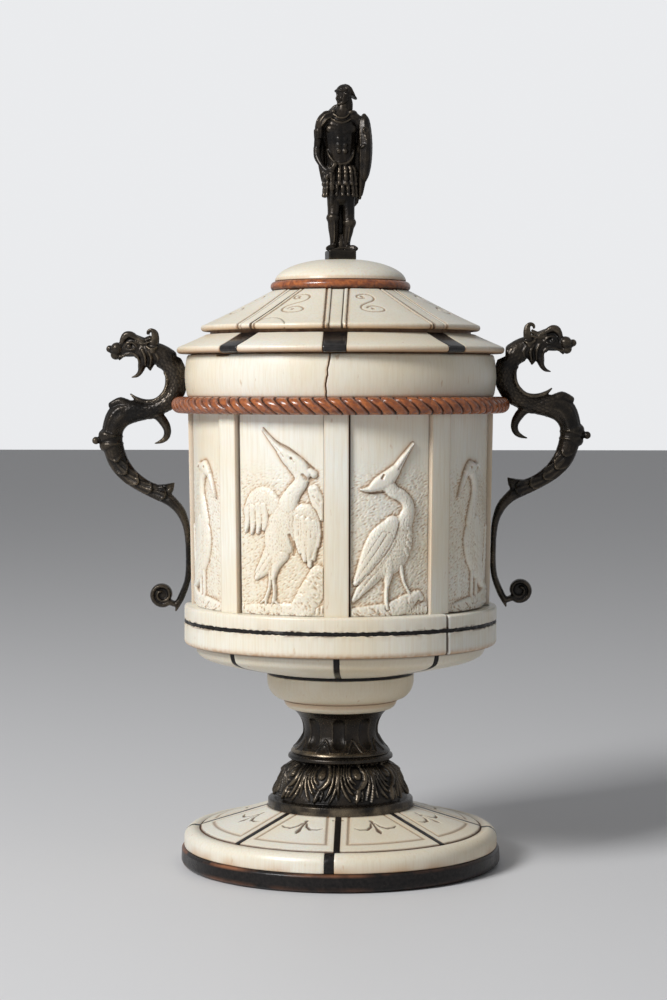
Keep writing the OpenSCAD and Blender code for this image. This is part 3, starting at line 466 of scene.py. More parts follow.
plate_slope = (stem_z - foot_top_z) / (foot_in_r - stem_r)
border_side, border_end, border_half = 3.0 * mm, 5.6 * mm, 0.55 * mm
border_deep, sprig_deep = 0.3 * mm, 0.45 * mm
# The sprig's arms, in millimetres across the plate and out from the axis, with the half width of the cut
sprig = [
    [(0, 32.0, 0.9), (0, 33.6, 0.5), (0, 37, 0.55), (0, 40.2, 1.25), (0, 41.8, 0.4)],
    [(0.8, 33.6, 0.35), (1.8, 36.2, 0.65), (3.9, 38.0, 0.7), (6.6, 37.6, 0.6), (8.2, 36.2, 0.3)],
    [(-0.8, 33.6, 0.35), (-1.8, 36.2, 0.65), (-3.9, 38.0, 0.7), (-6.6, 37.6, 0.6), (-8.2, 36.2, 0.3)]]
# Two black pins beside the front fillet: radius, distance from the fillet's middle and from the axis
pin_r, pin_aside, pin_out = 0.55 * mm, 1.75 * mm, 30.6 * mm


def cut_depth(across, along, route):
    """Depth share of a cut whose half width changes along its route, given in millimetres."""
    d, where = line_distance(across, along, [(x * mm, y * mm) for x, y, _ in route])
    half = np.interp(where, range(len(route)), [w * mm for _, _, w in route])
    return groove(d, half)


plate_run = foot_in_r - stem_r - 2 * glue_gap
rows = [foot_in_r - glue_gap - k / top_rows * plate_run for k in range(top_rows + 1)]
top = [(r, foot_top_z + (foot_in_r - r) * plate_slope) for r in rows]
foot_section = [(top[-1][0], top[-1][1] - foot_plate_t), (top[0][0], top[0][1] - foot_plate_t)] + top
for i, start in enumerate(foot_turns):
    end = next_turn(foot_turns, i)
    bm = ring_part(foot_section, start, end, (foot_fillet_w + joint_gap) / 2, foot_plate_steps, 0.3 * mm)
    points = places(bm)
    r, turn = polar(points)
    surface = foot_top_z + (foot_in_r - r) * plate_slope
    on_top = points[:, 2] > surface - 0.05 * mm
    from_start = off_joint(r, turn, start) - foot_fillet_w / 2
    from_end = -off_joint(r, turn, end) - foot_fillet_w / 2
    border = np.minimum(np.minimum(from_start, from_end) - border_side, foot_in_r - r - border_end)
    cut = groove(border, border_half) * border_deep
    aside = around(turn, math.radians((start + end) / 2))
    spray = np.zeros(len(points))
    for arm in sprig:
        spray = np.maximum(spray, cut_depth(r * np.sin(aside), r * np.cos(aside), arm))
    for away in (from_start, from_end):
        pin = groove(np.hypot(away + foot_fillet_w / 2 - pin_aside, r - pin_out), pin_r)
        spray = np.maximum(spray, pin * (around(turn, 0) ** 2 < 0.1) * (i in (0, len(foot_turns) - 1)))
    depth = np.maximum(cut, spray * sprig_deep)
    wave = ripple(points / (8 * mm)) * 0.08 * mm
    ragged = ripple(points / (1.7 * mm)) * 0.25 * mm
    edge_fall = fade(foot_in_r - r - ragged, 1.3 * mm) ** 2 * 0.9 * mm
    points[:, 2] -= on_top * (depth - wave + edge_fall)
    put(bm, points)
    made = part(f"foot_leaf_plate_{i + 1}", bm, "cup", "bone", bone, f"foot_plate_{i + 1}", angle=50)
    near_joint = np.minimum(np.minimum(from_start, from_end), foot_in_r - r)
    darkening = np.maximum(groove(border, border_half) * 0.5, spray * 0.95)
    darkening = np.maximum(darkening, fade(near_joint, 0.4 * mm))
    darkening = np.maximum(darkening, np.clip(2.2 - 2 * (foot_in_r - r - ragged) / (0.8 * mm), 0, 1))
    darkening = np.maximum(darkening, np.clip(1 - (r - stem_r) / (0.9 * mm), 0, 0.8))
    attribute(made, "hollow", np.clip(darkening, 0, 1))
    halo = fade(np.abs(border), 1.3 * mm) * 0.4
    attribute(made, "amber", halo + fade(near_joint, 1.6 * mm) * 0.2)
    attribute(made, "tone", tone_of(i + 3) * 0.5)
fillet_section = soften([(stem_r, stem_z - foot_plate_t), (foot_in_r - glue_gap, foot_top_z - foot_plate_t),
                         (foot_in_r - glue_gap, foot_top_z), (stem_r, stem_z)], 0.2 * mm)
for i, middle in enumerate(foot_turns):
    bm = ring_part(fillet_section, middle, middle, -foot_fillet_w / 2, 6, 0.15 * mm)
    bmesh.ops.subdivide_edges(bm, edges=[e for e in bm.edges if e.calc_length() > 4 * mm], cuts=24)
    rough_up(bm, 0.16 * mm, 1.6 * mm)
    made = part(f"foot_line_{i + 1}", bm, "cup", "ebony", ebony, *leads(i, "foot_fillets"))
    attribute(made, "edge", 0)

# Stem: two bronze castings threaded on the iron tie rod. The lower one carries a wreath of leaves with
# curled tips over a plain ring and ends in a bead; the upper one is fluted. Both have a dark patina,
# rubbed back to brass on the bead, the ring's edge and the leaf tips.
stem_foot_h, neck_r, neck_h = 21.1 * mm, 18.2 * mm, 16.4 * mm
neck_z = stem_z + stem_foot_h
knop_z = neck_z + neck_h
tenon_bore_r, rod_hole_r = 11.3 * mm, 2.4 * mm
leaf_count, leaf_relief, leaf_steps = 10, 1.9 * mm, 420
flute_count, flute_deep, flute_steps = 9, 1.1 * mm, 384
# One leaf of the wreath: its width, and ridges as points across and up from the ring in millimetres,
# with half widths. The ridge at half the width parts two leaves and is cut on both sides of a leaf.
leaf_pitch = 15
leaf_strokes = [
    [(1.0, 14.4, 0.3), (3.1, 13.6, 0.65), (4.1, 11.3, 0.9), (3.6, 8.8, 0.95), (1.9, 6.7, 0.85),
     (-0.2, 5.5, 0.3)],
    [(-1.4, 14.2, 0.3), (-2.7, 12.8, 0.5), (-2.9, 10.8, 0.6), (-2.1, 8.9, 0.55), (-0.7, 7.7, 0.3)],
    [(-3.6, 14.2, 0.3), (-4.1, 11.4, 0.5), (-3.5, 8.7, 0.5), (-2.1, 6.5, 0.45), (-0.9, 5.6, 0.25)],
    [(-4.8, 14.0, 0.35), (-5.3, 11.0, 0.5), (-4.7, 7.8, 0.5), (-3.1, 5.1, 0.5), (-1.6, 3.7, 0.25)],
    [(-6.1, 13.4, 0.35), (-6.5, 9.8, 0.5), (-5.9, 6.5, 0.55), (-4.5, 3.6, 0.55), (-3.1, 1.6, 0.25)],
    [(5.2, 13.8, 0.35), (5.6, 11.0, 0.5), (5.2, 8.0, 0.55), (4.2, 5.0, 0.6), (2.7, 2.0, 0.3)],
    [(6.4, 13.4, 0.3), (6.8, 9.6, 0.45), (6.5, 6.2, 0.5), (5.6, 3.4, 0.55), (4.4, 1.0, 0.3)],
    [(7.5, 14.4, 0.5), (7.5, 11.0, 0.7), (7.5, 7.0, 0.5), (7.5, 2.6, 0.3)],
    [(0.3, 5.3, 0.8), (-0.2, 3.8, 1.1), (-0.8, 2.1, 0.8), (-1.2, 0.8, 0.2)],
    [(1.7, 5.2, 0.3), (1.5, 3.6, 0.6), (1.0, 1.6, 0.3)]]
leaf_ring_h, leaf_zone_h, leaf_bud = 3.7 * mm, 14.6 * mm, (0.4, 11.0, 1.9)
# Shares of radius and height from the bottom ring to the top bead, and from the neck's foot to its top
stem_foot_shares = [
    (1, 0), (1.0, 0.12), (0.99, 0.15), (0.965, 0.175), (0.965, 0.21), (0.95, 0.27), (0.905, 0.38),
    (0.865, 0.5), (0.825, 0.62), (0.77, 0.72), (0.70, 0.79), (0.665, 0.825), (0.685, 0.85), (0.715, 0.875),
    (0.722, 0.91), (0.715, 0.945), (0.69, 0.97), (0.665, 1)]
stem_neck_shares = [
    (1.06, 0), (1.045, 0.04), (1.0, 0.09), (0.93, 0.17), (0.863, 0.27), (0.815, 0.38), (0.797, 0.5),
    (0.805, 0.62), (0.835, 0.74), (0.885, 0.85), (0.94, 0.93), (0.975, 0.97), (1.0, 1)]


def smooth_route(points, steps):
    """Points of a smooth curve through the given ones."""
    p = np.array([points[0], *points, points[-1]], dtype=float)
    made = []
    for i in range(1, len(p) - 2):
        a, b, c, d = p[i - 1], p[i], p[i + 1], p[i + 2]
        for k in range(steps):
            t = k / steps
            made.append(b + (c - a) * t / 2 + (a * 2 - b * 5 + c * 4 - d) * t * t / 2
                        + (b * 3 - a - c * 3 + d) * t ** 3 / 2)
    return np.array(made + [p[-1]])


def bronze_finish():
    material = finish("bronze")
    fine = object_grain(material, (1500, 1500, 1500), 3)
    broad = object_grain(material, (110, 110, 110), 4)
    dark = tint(material, steps_of(material, broad, 0.35, 0.68), (0.007, 0.006, 0.0055, 1),
                (0.030, 0.022, 0.015, 1))
    worn = sums(material, "MULTIPLY", mark(material, "edge"),
                steps_of(material, broad, 0.36, 0.62, 0.15, 1.25))
    worn = sums(material, "MINIMUM", worn, 0.92)
    colour = tint(material, worn, dark, (0.235, 0.188, 0.13, 1))
    colour = tint(material, mark(material, "hollow"), colour, (0.006, 0.005, 0.0045, 1))
    rough = sums(material, "ADD", steps_of(material, fine, 0.3, 0.7, 0.22, 0.36),
                 sums(material, "MULTIPLY", mark(material, "hollow"), 0.25))
    into(material, Base_Color=colour, Roughness=rough, Metallic=steps_of(material, worn, 0, 1, 0.62, 0.95),
         Normal=bumped(material, sums(material, "ADD", fine, broad), 0.12 * mm, 0.6))
    return material


def casting(shares, radius, z, height, hole_r, relief, turns, steps):
    """Turned casting whose outside is carved by relief(turn, height share), in metres outwards."""
    outline = smooth_route(shares, steps)
    section = [(radius * s, z + height * t) for s, t in outline] + [(hole_r, z + height), (hole_r, z)]
    bm = turned(section, turns)
    points = places(bm)
    r, turn = polar(points)
    level = (points[:, 2] - z) / height
    skin = r > hole_r + 0.01 * mm
    set_polar(points, r + np.where(skin, relief(turn, level), 0), turn)
    put(bm, points)
    return bm


def between(value, low, high):
    """Smooth rise from 0 at low to 1 at high."""
    t = np.clip((value - low) / (high - low), 0, 1)
    return t * t * (3 - 2 * t)


def fine_noise(across, up, pitch, seed=0.0):
    """Ripple over a flat field. Another seed gives another pattern."""
    return ripple(np.stack([across / pitch, up / pitch, np.full(len(across), seed)], axis=1))


def leaf_wreath(turn, level):
    """A row of acanthus leaves with curled tips over a plain ring."""
    place = turn * leaf_count / math.tau
    across = (place - np.floor(place) - 0.5) * leaf_pitch
    up = (level * stem_foot_h - leaf_ring_h) / mm
    carved = np.zeros(len(turn))
    for stroke in leaf_strokes:
        d, where = line_distance(across, up, stroke)
        half = np.interp(where, range(len(stroke)), [p[2] for p in stroke])
        if stroke[0][0] == leaf_pitch / 2:
            d = np.minimum(d, line_distance(across + leaf_pitch, up, stroke)[0])
        carved = np.maximum(carved, np.sqrt(np.clip(1 - (d / half / 1.15) ** 2, 0, 1)) * (0.45 + 0.45 * half))
    bud = 1 - ((across - leaf_bud[0]) ** 2 + (up - leaf_bud[1]) ** 2) / leaf_bud[2] ** 2
    grain = fine_noise(across, up, 0.77)
    carved = np.maximum(carved, np.sqrt(np.clip(bud, 0, 1)) * (1.0 + 0.25 * grain))
    mass = 0.25 * np.exp(-(across / 5) ** 2 - ((up - 9) / 6) ** 2)
    zone = between(up, -0.5, 0.6) * (1 - between(up, leaf_zone_h / mm - 0.4, leaf_zone_h / mm + 0.6))
    return (carved * 0.85 + mass - 0.75) * leaf_relief * zone


def flutes(turn, level):
    """Broad round-ended flutes, with a pointed leaf tip rising between each two of them."""
    place = turn * flute_count / math.tau + 0.5
    s = (place - np.floor(place) - 0.5) * 2
    reach = np.hypot(s / 0.46, np.maximum(np.abs(level - 0.5) - 0.2, 0) / 0.16)
    hollow = np.sqrt(np.clip(1 - reach ** 2, 0, 1))
    side = 1 - np.abs(s)
    tip = 0.36 - 0.85 * side ** 1.4
    rib = groove(level - tip, 0.035) * between(level, 0.07, 0.1)
    inner = groove(level - tip + 0.12, 0.025) * between(level, 0.07, 0.1)
    sunk = between(tip - 0.02 - level, 0, 0.03) * between(level, 0.06, 0.09)
    return -hollow * flute_deep + (rib * 0.4 + inner * 0.25 - sunk * 0.25) * mm


def curvature(made, reach, passes):
    """How far each point stands out of the smoothed surface, in units of the given reach."""
    mesh = made.data
    points = np.empty(len(mesh.vertices) * 3)
    mesh.vertices.foreach_get("co", points)
    points = points.reshape(-1, 3)
    normals = np.empty(len(mesh.vertices) * 3)
    mesh.vertices.foreach_get("normal", normals)
    normals = normals.reshape(-1, 3)
    ends = np.empty(len(mesh.edges) * 2, dtype=np.int64)
    mesh.edges.foreach_get("vertices", ends)
    ends = ends.reshape(-1, 2)
    count = np.bincount(ends.ravel(), minlength=len(points))[:, None]
    even = points.copy()
    for _ in range(passes):
        total = np.zeros_like(even)
        for axis in range(3):
            total[:, axis] = (np.bincount(ends[:, 0], even[ends[:, 1], axis], len(points))
                              + np.bincount(ends[:, 1], even[ends[:, 0], axis], len(points)))
        even = total / np.maximum(count, 1)
    return np.einsum("ij,ij->i", points - even, normals) / reach


def mark_edges(made, reach, passes):
    """Attributes: edge is 1 on arrises, hollow is 1 in corners and cuts."""
    bend = curvature(made, reach, passes)
    attribute(made, "edge", np.clip(bend, 0, 1))
    attribute(made, "hollow", np.clip(-bend, 0, 1))


def wear(made, share, where=0.0):
    """Leaves a share of the wear on a piece's arrises, and at least the given wear at each point."""
    edges = made.data.attributes["edge"].data
    values = np.empty(len(edges), dtype=np.float32)
    edges.foreach_get("value", values)
    edges.foreach_set("value", np.maximum(values * share, where))


bronze = bronze_finish()
leaves_bm = casting(stem_foot_shares, stem_r, stem_z, stem_foot_h, tenon_bore_r, leaf_wreath, leaf_steps, 9)
leaves = part("stem_leaf_casting", leaves_bm, "cup", "bronze", bronze, "stem_foot", angle=60)
mark_edges(leaves, 0.2 * mm, 8)
points = points_of(leaves)
patches = ripple(points / (5 * mm))
ring = (1 - between(points[:, 2], stem_z + leaf_ring_h * 0.6, stem_z + leaf_ring_h)) * (0.4 + 0.9 * patches)
wear(leaves, 0.4, ring)
flutes_bm = casting(stem_neck_shares, neck_r, neck_z, neck_h, rod_hole_r, flutes, flute_steps, 8)
fluted = part("stem_fluted_casting", flutes_bm, "cup", "bronze", bronze, "stem_neck", angle=60)
mark_edges(fluted, 0.25 * mm, 8)
points = points_of(fluted)
r, turn = polar(points)
front_left = between(np.sin(turn + 2.4), -0.1, 0.9)
lip = groove(points[:, 2] - neck_z - 0.9 * mm, 0.9 * mm) * (r > neck_r) * front_left
wear(fluted, 0.22, lip)

# Tie rod and nuts: plain steel with an oiled, dull skin. The rod runs through the base, the stem and the
# floor of the cup, and its two nuts and the finial's nut pull the turned pieces together.


def iron_finish():
    material = finish("iron")
    fine = object_grain(material, (1200, 1200, 300), 3)
    broad = object_grain(material, (150, 150, 150), 4)
    colour = tint(material, steps_of(material, broad, 0.35, 0.7), (0.20, 0.195, 0.19, 1),
                  (0.13, 0.085, 0.06, 1))
    into(material, Base_Color=colour, Roughness=steps_of(material, broad, 0.3, 0.7, 0.3, 0.55), Metallic=1.0,
         Normal=bumped(material, fine, 0.05 * mm, 0.5))
    return material


iron = iron_finish()
for name in ("tie_rod", "tie_nuts", "finial_nut"):
    for piece_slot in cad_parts[name].material_slots:
        piece_slot.material = iron

# Knop and washer: a turned bone knop of two quarter rounds under the cup, and a thin dark washer on it.
# Both are clamped by the tie rod.
knop_r, knop_h, washer_t = 28.4 * mm, 13.8 * mm, 1.2 * mm
washer_z = knop_z + knop_h
knop_low, knop_step_r, knop_edge = 3.45 * mm, 22.4 * mm, 2.07 * mm
knop_steps, washer_steps = 192, 144
knop_high = knop_h - knop_low - knop_edge - 0.7 * mm
knop_section = soften(
    [(rod_hole_r, knop_z), (neck_r - 0.1 * mm, knop_z)]
    + arc((neck_r, knop_z + knop_low), (knop_step_r - neck_r - 0.6 * mm, knop_low - 0.1 * mm), -80, 0, 8)
    + [(knop_step_r, knop_z + knop_low + 0.1 * mm), (knop_step_r, knop_z + knop_low + 0.7 * mm)]
    + arc((knop_step_r, washer_z - knop_edge), (knop_r - knop_step_r, knop_high), -88, -4, 12)
    + [(knop_r, washer_z), (rod_hole_r, washer_z)], 0.3 * mm)
knop = part("knop_turned", turned(knop_section, knop_steps), "cup", "bone", bone, "knop")
points = points_of(knop)
# Painted shade: the crease at the step is darkened and warmed with amber round it
crease = fade(np.abs(points[:, 2] - knop_z - knop_low - 0.35 * mm), 0.4 * mm) * 0.8
attribute(knop, "hollow", np.clip(crease + fade(points[:, 2] - knop_z, 0.35 * mm), 0, 1))
attribute(knop, "tone", 0.5)
attribute(knop, "amber", np.clip(1 - np.abs(points[:, 2] - knop_z - knop_low) / (1.6 * mm), 0, 0.4))
washer_bm = turned(soften([(rod_hole_r, washer_z), (knop_r, washer_z), (knop_r, washer_z + washer_t),
                           (rod_hole_r, washer_z + washer_t)], 0.35 * mm), washer_steps)
part("dark_washer", washer_bm, "cup", "ebony", ebony, "knop_washer")

# Underside of the cup: eight curved bone plates with ebony fillets between them, glued under the
# turned wooden core. The wood is oiled and shows only inside the cup and in the joints.
soffit_z, soffit_h, soffit_t = washer_z + washer_t, 10.7 * mm, 2 * mm
soffit_hub_r, soffit_r, soffit_fillet_w, soffit_steps = knop_r + 0.3 * mm, 56.2 * mm, 2 * mm, 48
body_turns = [0.5, 41.5, 90, 135, 180, 225, 270, 316]
# Shares of the run from the washer to the band and of the height
soffit_shares = [(0, 0), (0.447, 0.224), (0.749, 0.402), (0.891, 0.533), (0.967, 0.692), (1, 1)]


def wood_finish(name, light, dark, gloss):
    material = finish(name)
    stripe = object_grain(material, (260, 260, 22), 4, distortion=0.6)
    pore = object_grain(material, (1400, 1400, 160), 2)
    colour = tint(material, steps_of(material, stripe, 0.36, 0.66), light, dark)
    colour = tint(material, steps_of(material, pore, 0.6, 0.75, 0, 0.5), colour, dark)
    into(material, Base_Color=colour, Roughness=steps_of(material, stripe, 0.3, 0.7, gloss, gloss + 0.14),
         Normal=bumped(material, pore, 0.04 * mm, 0.4))
    return material


def soffit_line(inset):
    """Points of the underside's curve, moved inwards by a plate's thickness or not at all."""
    return [(soffit_hub_r + (soffit_r - soffit_hub_r - inset) * a, soffit_z + (soffit_h - inset) * b + inset)
            for a, b in smooth_route(soffit_shares, 5)]


core_wood = wood_finish("core_wood", (0.31, 0.17, 0.075, 1), (0.15, 0.07, 0.028, 1), 0.42)
for node in ("foot_core", "cup_core", "cup_floor", "lid_core"):
    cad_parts[node].data.materials.clear()
    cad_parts[node].data.materials.append(core_wood)
soffit_section = soffit_line(0) + soffit_line(soffit_t)[::-1]
for i, start in enumerate(body_turns):
    end = next_turn(body_turns, i)
    bm = ring_part(soffit_section, start, end, (soffit_fillet_w + joint_gap) / 2, soffit_steps, 0.2 * mm)
    rough_up(bm, 0.06 * mm, 7 * mm)
    made = part(f"soffit_plate_{i + 1}", bm, "cup", "bone", bone, *leads(i, "soffit_plates"))
    points = points_of(made)
    attribute(made, "tone", 0.25 + tone_of(i))
    # Painted shade: each plate darkens towards its top, under the overhang of the band
    attribute(made, "hollow", between(points[:, 2], soffit_z + soffit_h - 0.9 * mm, soffit_z + soffit_h))
for i, middle in enumerate(body_turns):
    bm = ring_part(soffit_section, middle, middle, -soffit_fillet_w / 2, 4, 0.15 * mm)
    rough_up(bm, 0.1 * mm, 2 * mm)
    part(f"soffit_line_{i + 1}", bm, "cup", "ebony", ebony, *leads(i, "soffit_fillets"))

# Base band: a turned bone ring in three lengths round the foot of the wall. A groove in it is filled
# with black wax that has partly fallen out. The joint at the front right is filled with pale wax.
band_z, band_h, band_r, tray_r = soffit_z + soffit_h, 15.2 * mm, 60.3 * mm, 54.08 * mm
body_z = band_z + band_h
inlay_z, inlay_h, inlay_deep = band_z + band_h * 0.55, 1.5 * mm, 1.0 * mm
band_turns, band_steps, inlay_steps, band_drop = [43, 163, 283], 240, 720, 0.45 * mm
band_section = soften(
    [(tray_r, band_z), (band_r - 1.7 * mm, band_z)]
    + arc((band_r - 1.6 * mm, band_z + 1.6 * mm), 1.6 * mm, -80, -5, 6)
    + [(band_r, band_z + k * mm) for k in (2.2, 3.0, 4.2, 6.0)]
    + [(band_r, inlay_z - 0.7 * mm), (band_r, inlay_z - 0.35 * mm), (band_r, inlay_z),
       (band_r - inlay_deep, inlay_z + 0.1 * mm), (band_r - inlay_deep, inlay_z + inlay_h - 0.1 * mm),
       (band_r, inlay_z + inlay_h), (band_r, inlay_z + inlay_h + 0.35 * mm),
       (band_r, inlay_z + inlay_h + 0.7 * mm), (band_r, body_z - 2 * mm)]
    + arc((band_r - 1.1 * mm, body_z - 1.1 * mm), 1.1 * mm, 5, 85, 6) + [(tray_r, body_z)], 0.22 * mm, 2)
for i, start in enumerate(band_turns):
    bm = ring_part(band_section, start, next_turn(band_turns, i), joint_gap, band_steps, 0.5 * mm)
    points = places(bm)
    r, turn = polar(points)
    drop = band_drop if i == 0 else 0
    level = (points[:, 2] - band_z) / band_h
    ragged = ripple(points / (1.4 * mm))
    groove_edge = np.clip(1.4 - np.abs(points[:, 2] - inlay_z - inlay_h / 2) / (1.1 * mm), 0, 1)
    points[:, 2] += ragged * groove_edge * 0.75 * mm * (r > band_r - 0.5 * mm)
    points[:, 2] -= drop * (0.2 + 0.8 * between(level, 0.8, 1))
    from_front = off_joint(r, turn, band_turns[0]) / mm
    split = groove(from_front + 0.3 * ragged, 0.6) * (r > tray_r + 2 * mm)
    points[:, :2] *= (1 - split * 0.7 * mm / r)[:, None]
    put(bm, points)
    rough_up(bm, 0.1 * mm, 12 * mm)
    made = part(f"wall_foot_band_{i + 1}", bm, "cup", "bone", bone, f"base_band_{i + 1}")
    deep = np.clip((band_r - 0.3 * mm - r) / (0.4 * mm), 0, 1) * (np.abs(level - 0.6) < 0.12)
    smear = groove_edge * between(ripple(points * (260, 260, 900)), -0.05, 0.2) + split
    # Painted shade: the band's rounded foot is darkened where it overhangs the soffit
    foot_shade = between(-points[:, 2], -band_z - 0.5 * mm, -band_z) * 0.8
    attribute(made, "hollow", np.clip(deep + smear + foot_shade, 0, 1))
    low = fade(points[:, 2] - band_z, 2.4 * mm) * (0.75 + 0.7 * ragged)
    low += fade(np.abs(points[:, 2] - inlay_z - inlay_h / 2), 1.9 * mm) * (0.25 + 0.5 * ragged)
    attribute(made, "amber", np.clip(low, 0, 0.7))
    attribute(made, "tone", tone_of(i + 1) * 0.6)
    from_joint = off_joint(r, turn, start) / mm + 0.25 * ragged
    attribute(made, "pale", groove(from_joint - 1.0, 0.75) * (i == 0))
wax_in_r, wax_out_r = band_r - inlay_deep + 0.08 * mm, band_r - 0.33 * mm
wax_low, wax_high = inlay_z + 0.02 * mm, inlay_z + inlay_h - 0.02 * mm
inlay_bm = turned([(wax_in_r, wax_low), (wax_out_r, wax_low), (band_r - 0.28 * mm, inlay_z + inlay_h / 2),
                   (wax_out_r, wax_high), (wax_in_r, wax_high)], inlay_steps)
points = places(inlay_bm)
r, turn = polar(points)
gone = ripple(points * (220, 220, 800))
r = np.where(r > band_r - 0.5 * mm, np.clip(r + (gone * 1.3 + 0.02) * mm, 0, band_r - 0.1 * mm), r)
set_polar(points, r, turn)
put(inlay_bm, points)
part("black_wax_line", inlay_bm, "cup", "ebony", ebony, "band_inlay")

# Wall: eight bone panels carved with herons, and a plain bone strip over each joint. They are glued to
# the core between the band and the rope. Brown wax has stayed in the cuts and in the gaps, and painted
# shade darkens the carving's hollows, the ground beside the birds, the panels' edges and the strips' sides.
body_h, body_taper = 73.5 * mm, 1.2 * mm
strip_r, strip_w, panel_r = 58.7 * mm, 8.9 * mm, 56.8 * mm
rope_z = body_z + body_h
# The panels leave a fine joint at one side and a wider one, full of wax, at the other
panel_gap, wide_gap = 0.1 * mm, 0.6 * mm
panel_rows, panel_columns, carving_lift, carving_high = 264, 126, 1.12, 1.62


def raise_stroke(form, across, up, stroke, height, flat=2.0):
    """Raises the form to a rounded ridge along a route of (across, up, half width) in millimetres."""
    route = smooth_route(stroke, 3) if len(stroke) > 2 else np.array(stroke, dtype=float)
    reach = route[:, 2].max()
    near = ((across > route[:, 0].min() - reach) & (across < route[:, 0].max() + reach)
            & (up > route[:, 1].min() - reach) & (up < route[:, 1].max() + reach))
    if not near.any():
        return
    d, where = line_distance(across[near], up[near], route)
    half = np.interp(where, range(len(route)), route[:, 2])
    ridge = np.sqrt(np.clip(1 - (d / half) ** flat, 0, 1))
    form[near] = np.maximum(form[near], height * ridge)


def cut_stroke(form, across, up, stroke, depth):
    """Lowers the form by a rounded cut along such a route."""
    cut = np.zeros(len(form))
    raise_stroke(cut, across, up, stroke, 1.0)
    form -= cut * depth


# Each heron: masses as (height, flatness, route), feathers as (height over the mass, route), cuts as
# (depth, route), and rough places of the ground as (height, route)
flying_heron = dict(
    masses=[
        (0.95, 2.2, [(1, 27, 5.2), (-2.8, 21.5, 4.4), (-6.3, 17.4, 3.0), (-9.6, 13.6, 1.0)]),
        (1.15, 2.2, [(-1.4, 20.5, 3.0), (-0.4, 26, 5.8), (1.2, 33, 6.4), (3.2, 39, 4.8), (4.6, 43, 3.4)]),
        (1.3, 2.4, [(3.4, 40, 3.8), (5.8, 45, 3.0), (8.6, 48.6, 2.6), (8.8, 51.8, 2.7), (6.2, 55.2, 2.7)]),
        (0.85, 2.2, [(-2.4, 40, 4.0), (-6, 42.6, 4.6), (-9.6, 41.2, 4.4), (-12.4, 38, 3.2)]),
        (1.0, 2.2, [(6.8, 37.6, 2.6), (10.4, 37.4, 4.0), (12, 33, 4.0), (11.3, 27, 3.5), (10.8, 22.4, 2.2)]),
        (1.45, 2.2, [(11.2, 52, 1.5), (8.2, 54.8, 3.0), (4.4, 57.4, 2.8), (1.4, 60, 1.8)]),
        (1.15, 2, [(2.6, 58.8, 1.7), (-1.6, 63, 1.0), (-6.2, 68, 0.35)]),
        (1.3, 2, [(10.4, 52.8, 1.1), (12.2, 52.8, 1.3), (13.6, 51.9, 1.4)]),
        (1.2, 2, [(0.8, 22.4, 3.2), (-1.4, 18, 1.9), (-2.4, 13.6, 0.95)]),
        (1.0, 2, [(-2.4, 13.8, 0.8), (-1.9, 9, 0.7), (-2.3, 5.4, 0.9)]),
        (0.85, 2, [(-3.6, 16.4, 0.9), (-4.0, 10.4, 0.65), (-5.6, 6.2, 0.8)]),
        (0.7, 2, [(-5.5, 6.4, 0.6), (-7.9, 4.4, 0.35)]), (0.7, 2, [(-5.5, 6.4, 0.6), (-5.8, 3.6, 0.35)]),
        (0.7, 2, [(-2.3, 5.6, 0.6), (-0.2, 3.9, 0.35)]), (0.7, 2, [(-2.3, 5.6, 0.6), (-3.4, 3.2, 0.35)])],
    feathers=[
        (0.35, [(-6.2, 40, 1.5), (-5.6, 35, 1.4), (-6.2, 31.6, 0.7)]),
        (0.35, [(-8.6, 40, 1.5), (-8.2, 34.6, 1.4), (-8.8, 30.4, 0.7)]),
        (0.35, [(-11, 39.6, 1.4), (-10.9, 34, 1.3), (-11.5, 30, 0.6)]),
        (0.35, [(-13.2, 38.6, 1.3), (-13.6, 34, 1.2), (-14.3, 30.6, 0.6)]),
        (0.35, [(7.4, 36, 1.4), (7.3, 29.6, 1.4), (8.4, 23.6, 0.8)]),
        (0.4, [(9.4, 35.6, 1.4), (9.5, 27, 1.5), (10.1, 20.6, 0.8)]),
        (0.4, [(11.6, 35, 1.4), (11.8, 26.6, 1.5), (11.9, 18.6, 0.8)]),
        (0.35, [(13.6, 34.4, 1.3), (13.9, 27.6, 1.3), (13.4, 21, 0.7)]),
        (0.3, [(15, 34, 0.9), (15.3, 30, 0.9), (15, 25.6, 0.5)]),
        (0.25, [(-3.4, 21.4, 1.1), (-6.4, 17.4, 1.0), (-8.6, 14.2, 0.5)]),
        (0.25, [(-5, 22, 1.0), (-7.8, 18.4, 0.9), (-9.8, 15.6, 0.4)])],
    cuts=[
        (0.5,
         [(-6.3, 68.6, 0.3), (-1.2, 63.9, 0.35), (4.2, 61.3, 0.35), (9.0, 57.6, 0.4), (13.6, 53.9, 0.4)]),
        (0.35, [(2.4, 58.4, 0.35), (-5.4, 67.0, 0.2)]), (0.7, [(5.3, 57.7, 0.55), (5.4, 57.6, 0.55)]),
        (0.25, [(4.0, 58.6, 0.3), (6.6, 56.4, 0.35)]),
        (0.6, [(4.4, 29.6, 0.7), (6.0, 24.6, 0.9), (5.6, 22.4, 0.5)]),
        (0.5, [(9.6, 51.6, 0.7), (10.8, 50.2, 0.8)])],
    rough=[
        (0.8, [(9, 3, 4.5), (12.4, 8.6, 4.8), (15, 15.4, 3.4)]),
        (0.7, [(13.4, 46, 2.2), (15.6, 40, 2.4), (16.6, 36, 1.2)]),
        (0.45, [(-14, 1.4, 2.2), (-4, 1.8, 2.4), (6, 2.2, 2.6)])])
